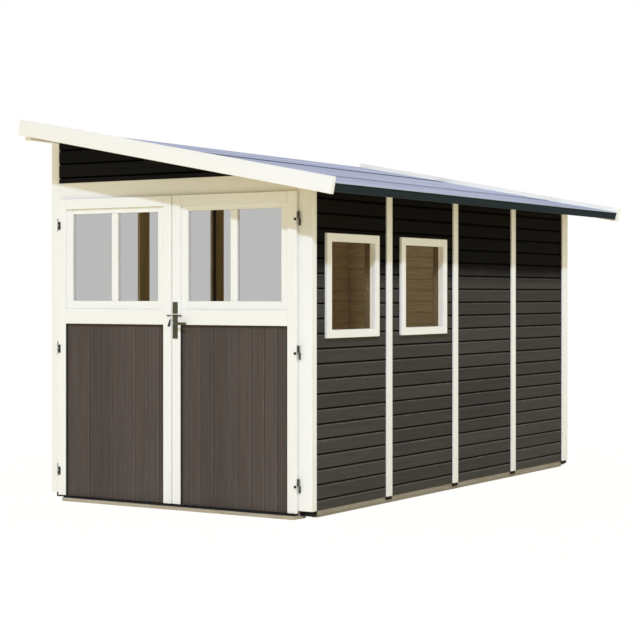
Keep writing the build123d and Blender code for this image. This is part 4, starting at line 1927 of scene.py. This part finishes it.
@dataclass
class Studio:
    """Camera at the photograph's angle, plain soft light and a pale floor."""

    camera_place: Triple = (6.09004, -10.1734, 1.315)
    camera_turn: float = math.radians(31.9002)
    lens: float = 95.399
    shift: float = -0.03978
    sun_way: Triple = (-0.448, 0.685, -0.574)
    sun_strength: float = 2.01
    sun_colour: Triple = (0.64, 0.755, 1.0)
    horizon: Triple = (0.475, 0.443, 0.340)
    side_glow: Triple = (0.67, 0.655, 0.54)
    open_glow: Triple = (1.05, 0.88, 0.60)
    zenith: Triple = (0.62, 0.60, 0.55)
    floor_colour: Triple = (0.87, 0.81, 0.62)
    bounce: Triple = (0.90, 0.79, 0.45)
    bounce_strength: float = 0.31
    floor_half: float = 400.0
    floor_white: float = 1.03
    floor_share: float = 0.90
    sun_angle: float = math.radians(1.8)
    open_reach: tuple[float, float] = (-0.95, -0.60)

    def build(self) -> None:
        """Set up camera, sun, world and floor."""
        scene = bpy.context.scene
        scene.view_settings.view_transform = "Standard"
        camera = bpy.data.cameras.new("camera")
        camera.sensor_width = 36.0
        camera.lens = self.lens
        camera.shift_y = self.shift
        stand = bpy.data.objects.new("camera", camera)
        stand.location = self.camera_place
        stand.rotation_euler = (math.pi / 2, 0.0, self.camera_turn)
        scene.collection.objects.link(stand)
        scene.camera = stand

        sun = bpy.data.lights.new("sun", "SUN")
        sun.energy = self.sun_strength
        sun.angle = self.sun_angle
        sun.color = self.sun_colour
        lamp = bpy.data.objects.new("sun", sun)
        lamp.rotation_mode = "QUATERNION"
        lamp.rotation_quaternion = Vector(self.sun_way).to_track_quat("-Z", "Y")
        scene.collection.objects.link(lamp)
        self.sky(scene)
        self.floor()

    def seen(self, tree: Tree) -> Socket:
        """Give 1 for rays that should meet plain white, and 0 for light on the object."""
        path = add_node(tree, "ShaderNodeLightPath")
        either = math_node(tree, "MAXIMUM", path.outputs["Is Camera Ray"],
                           path.outputs["Is Glossy Ray"])
        return math_node(tree, "MAXIMUM", either, path.outputs["Is Transmission Ray"])

    def sky(self, scene: bpy.types.Scene) -> None:
        """Make the world: soft fill for the object, white for what is seen.

        Args:
            scene: Scene that takes the world.
        """
        world = bpy.data.worlds.new("studio")
        world.use_nodes = True
        tree = world.node_tree
        tree.nodes.clear()
        fill = add_node(tree, "ShaderNodeBackground")
        way = axes_of(tree, add_node(tree, "ShaderNodeTexCoord").outputs["Generated"])
        side = spread(tree, way[0], 0.0, 1.0)
        height = spread(tree, way[2], 0.45, 0.9)
        low = mix_colour(tree, side, self.horizon, self.side_glow)
        glow = spread(tree, way[0], *self.open_reach, 1.0, 0.0)
        low = mix_colour(tree, glow, low, self.open_glow)
        join(tree, mix_colour(tree, height, low, self.zenith), fill.inputs[0])
        white = add_node(tree, "ShaderNodeBackground", {0: (1.0, 1.0, 1.0, 1.0)})
        mix = add_node(tree, "ShaderNodeMixShader",
                       {0: self.seen(tree), 1: fill.outputs[0], 2: white.outputs[0]})
        join(tree, mix.outputs[0], add_node(tree, "ShaderNodeOutputWorld").inputs[0])
        scene.world = world

    def floor(self) -> None:
        """Lay the pale floor that keeps a faint shadow."""
        half = self.floor_half
        mesh = bpy.data.meshes.new("floor")
        mesh.from_pydata([(-half, -half, 0.0), (half, -half, 0.0), (half, half, 0.0),
                          (-half, half, 0.0)], [], [(0, 1, 2, 3)])
        material = bpy.data.materials.new("pale_floor")
        material.use_nodes = True
        tree = material.node_tree
        shader = tree.nodes["Principled BSDF"]
        shader.inputs["Base Color"].default_value = (*self.floor_colour, 1.0)
        shader.inputs["Emission Color"].default_value = (*self.bounce, 1.0)
        shader.inputs["Emission Strength"].default_value = self.bounce_strength
        shader.inputs["Roughness"].default_value = 1.0
        shader.inputs["Specular IOR Level"].default_value = 0.0
        white = add_node(tree, "ShaderNodeEmission", {"Strength": self.floor_white})
        share = math_node(tree, "MULTIPLY", self.seen(tree), self.floor_share)
        mix = add_node(tree, "ShaderNodeMixShader",
                       {0: share, 1: shader.outputs[0], 2: white.outputs[0]})
        join(tree, mix.outputs[0], tree.nodes["Material Output"].inputs["Surface"])
        mesh.materials.append(material)
        link_object("floor", mesh)


def main() -> None:
    """Build the shed's looks in order."""
    logging.basicConfig(level=logging.INFO, format="%(name)s: %(message)s")
    for piece in list(bpy.data.objects):
        bpy.data.objects.remove(piece)
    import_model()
    Studio().build()
    Groundwork().build()
    SideWall().build()
    SideWindows().build()
    FrontWall().build()
    RearWall().build()
    OpenSide().build()
    Roof().build()
    DoorLeaf("left_leaf", Body.LEFT_DOOR, first_joint=-0.923).build()
    DoorLeaf("right_leaf", Body.RIGHT_DOOR, first_joint=0.041).build()
    Ironwork().build()


if __name__ == "__main__":
    main()
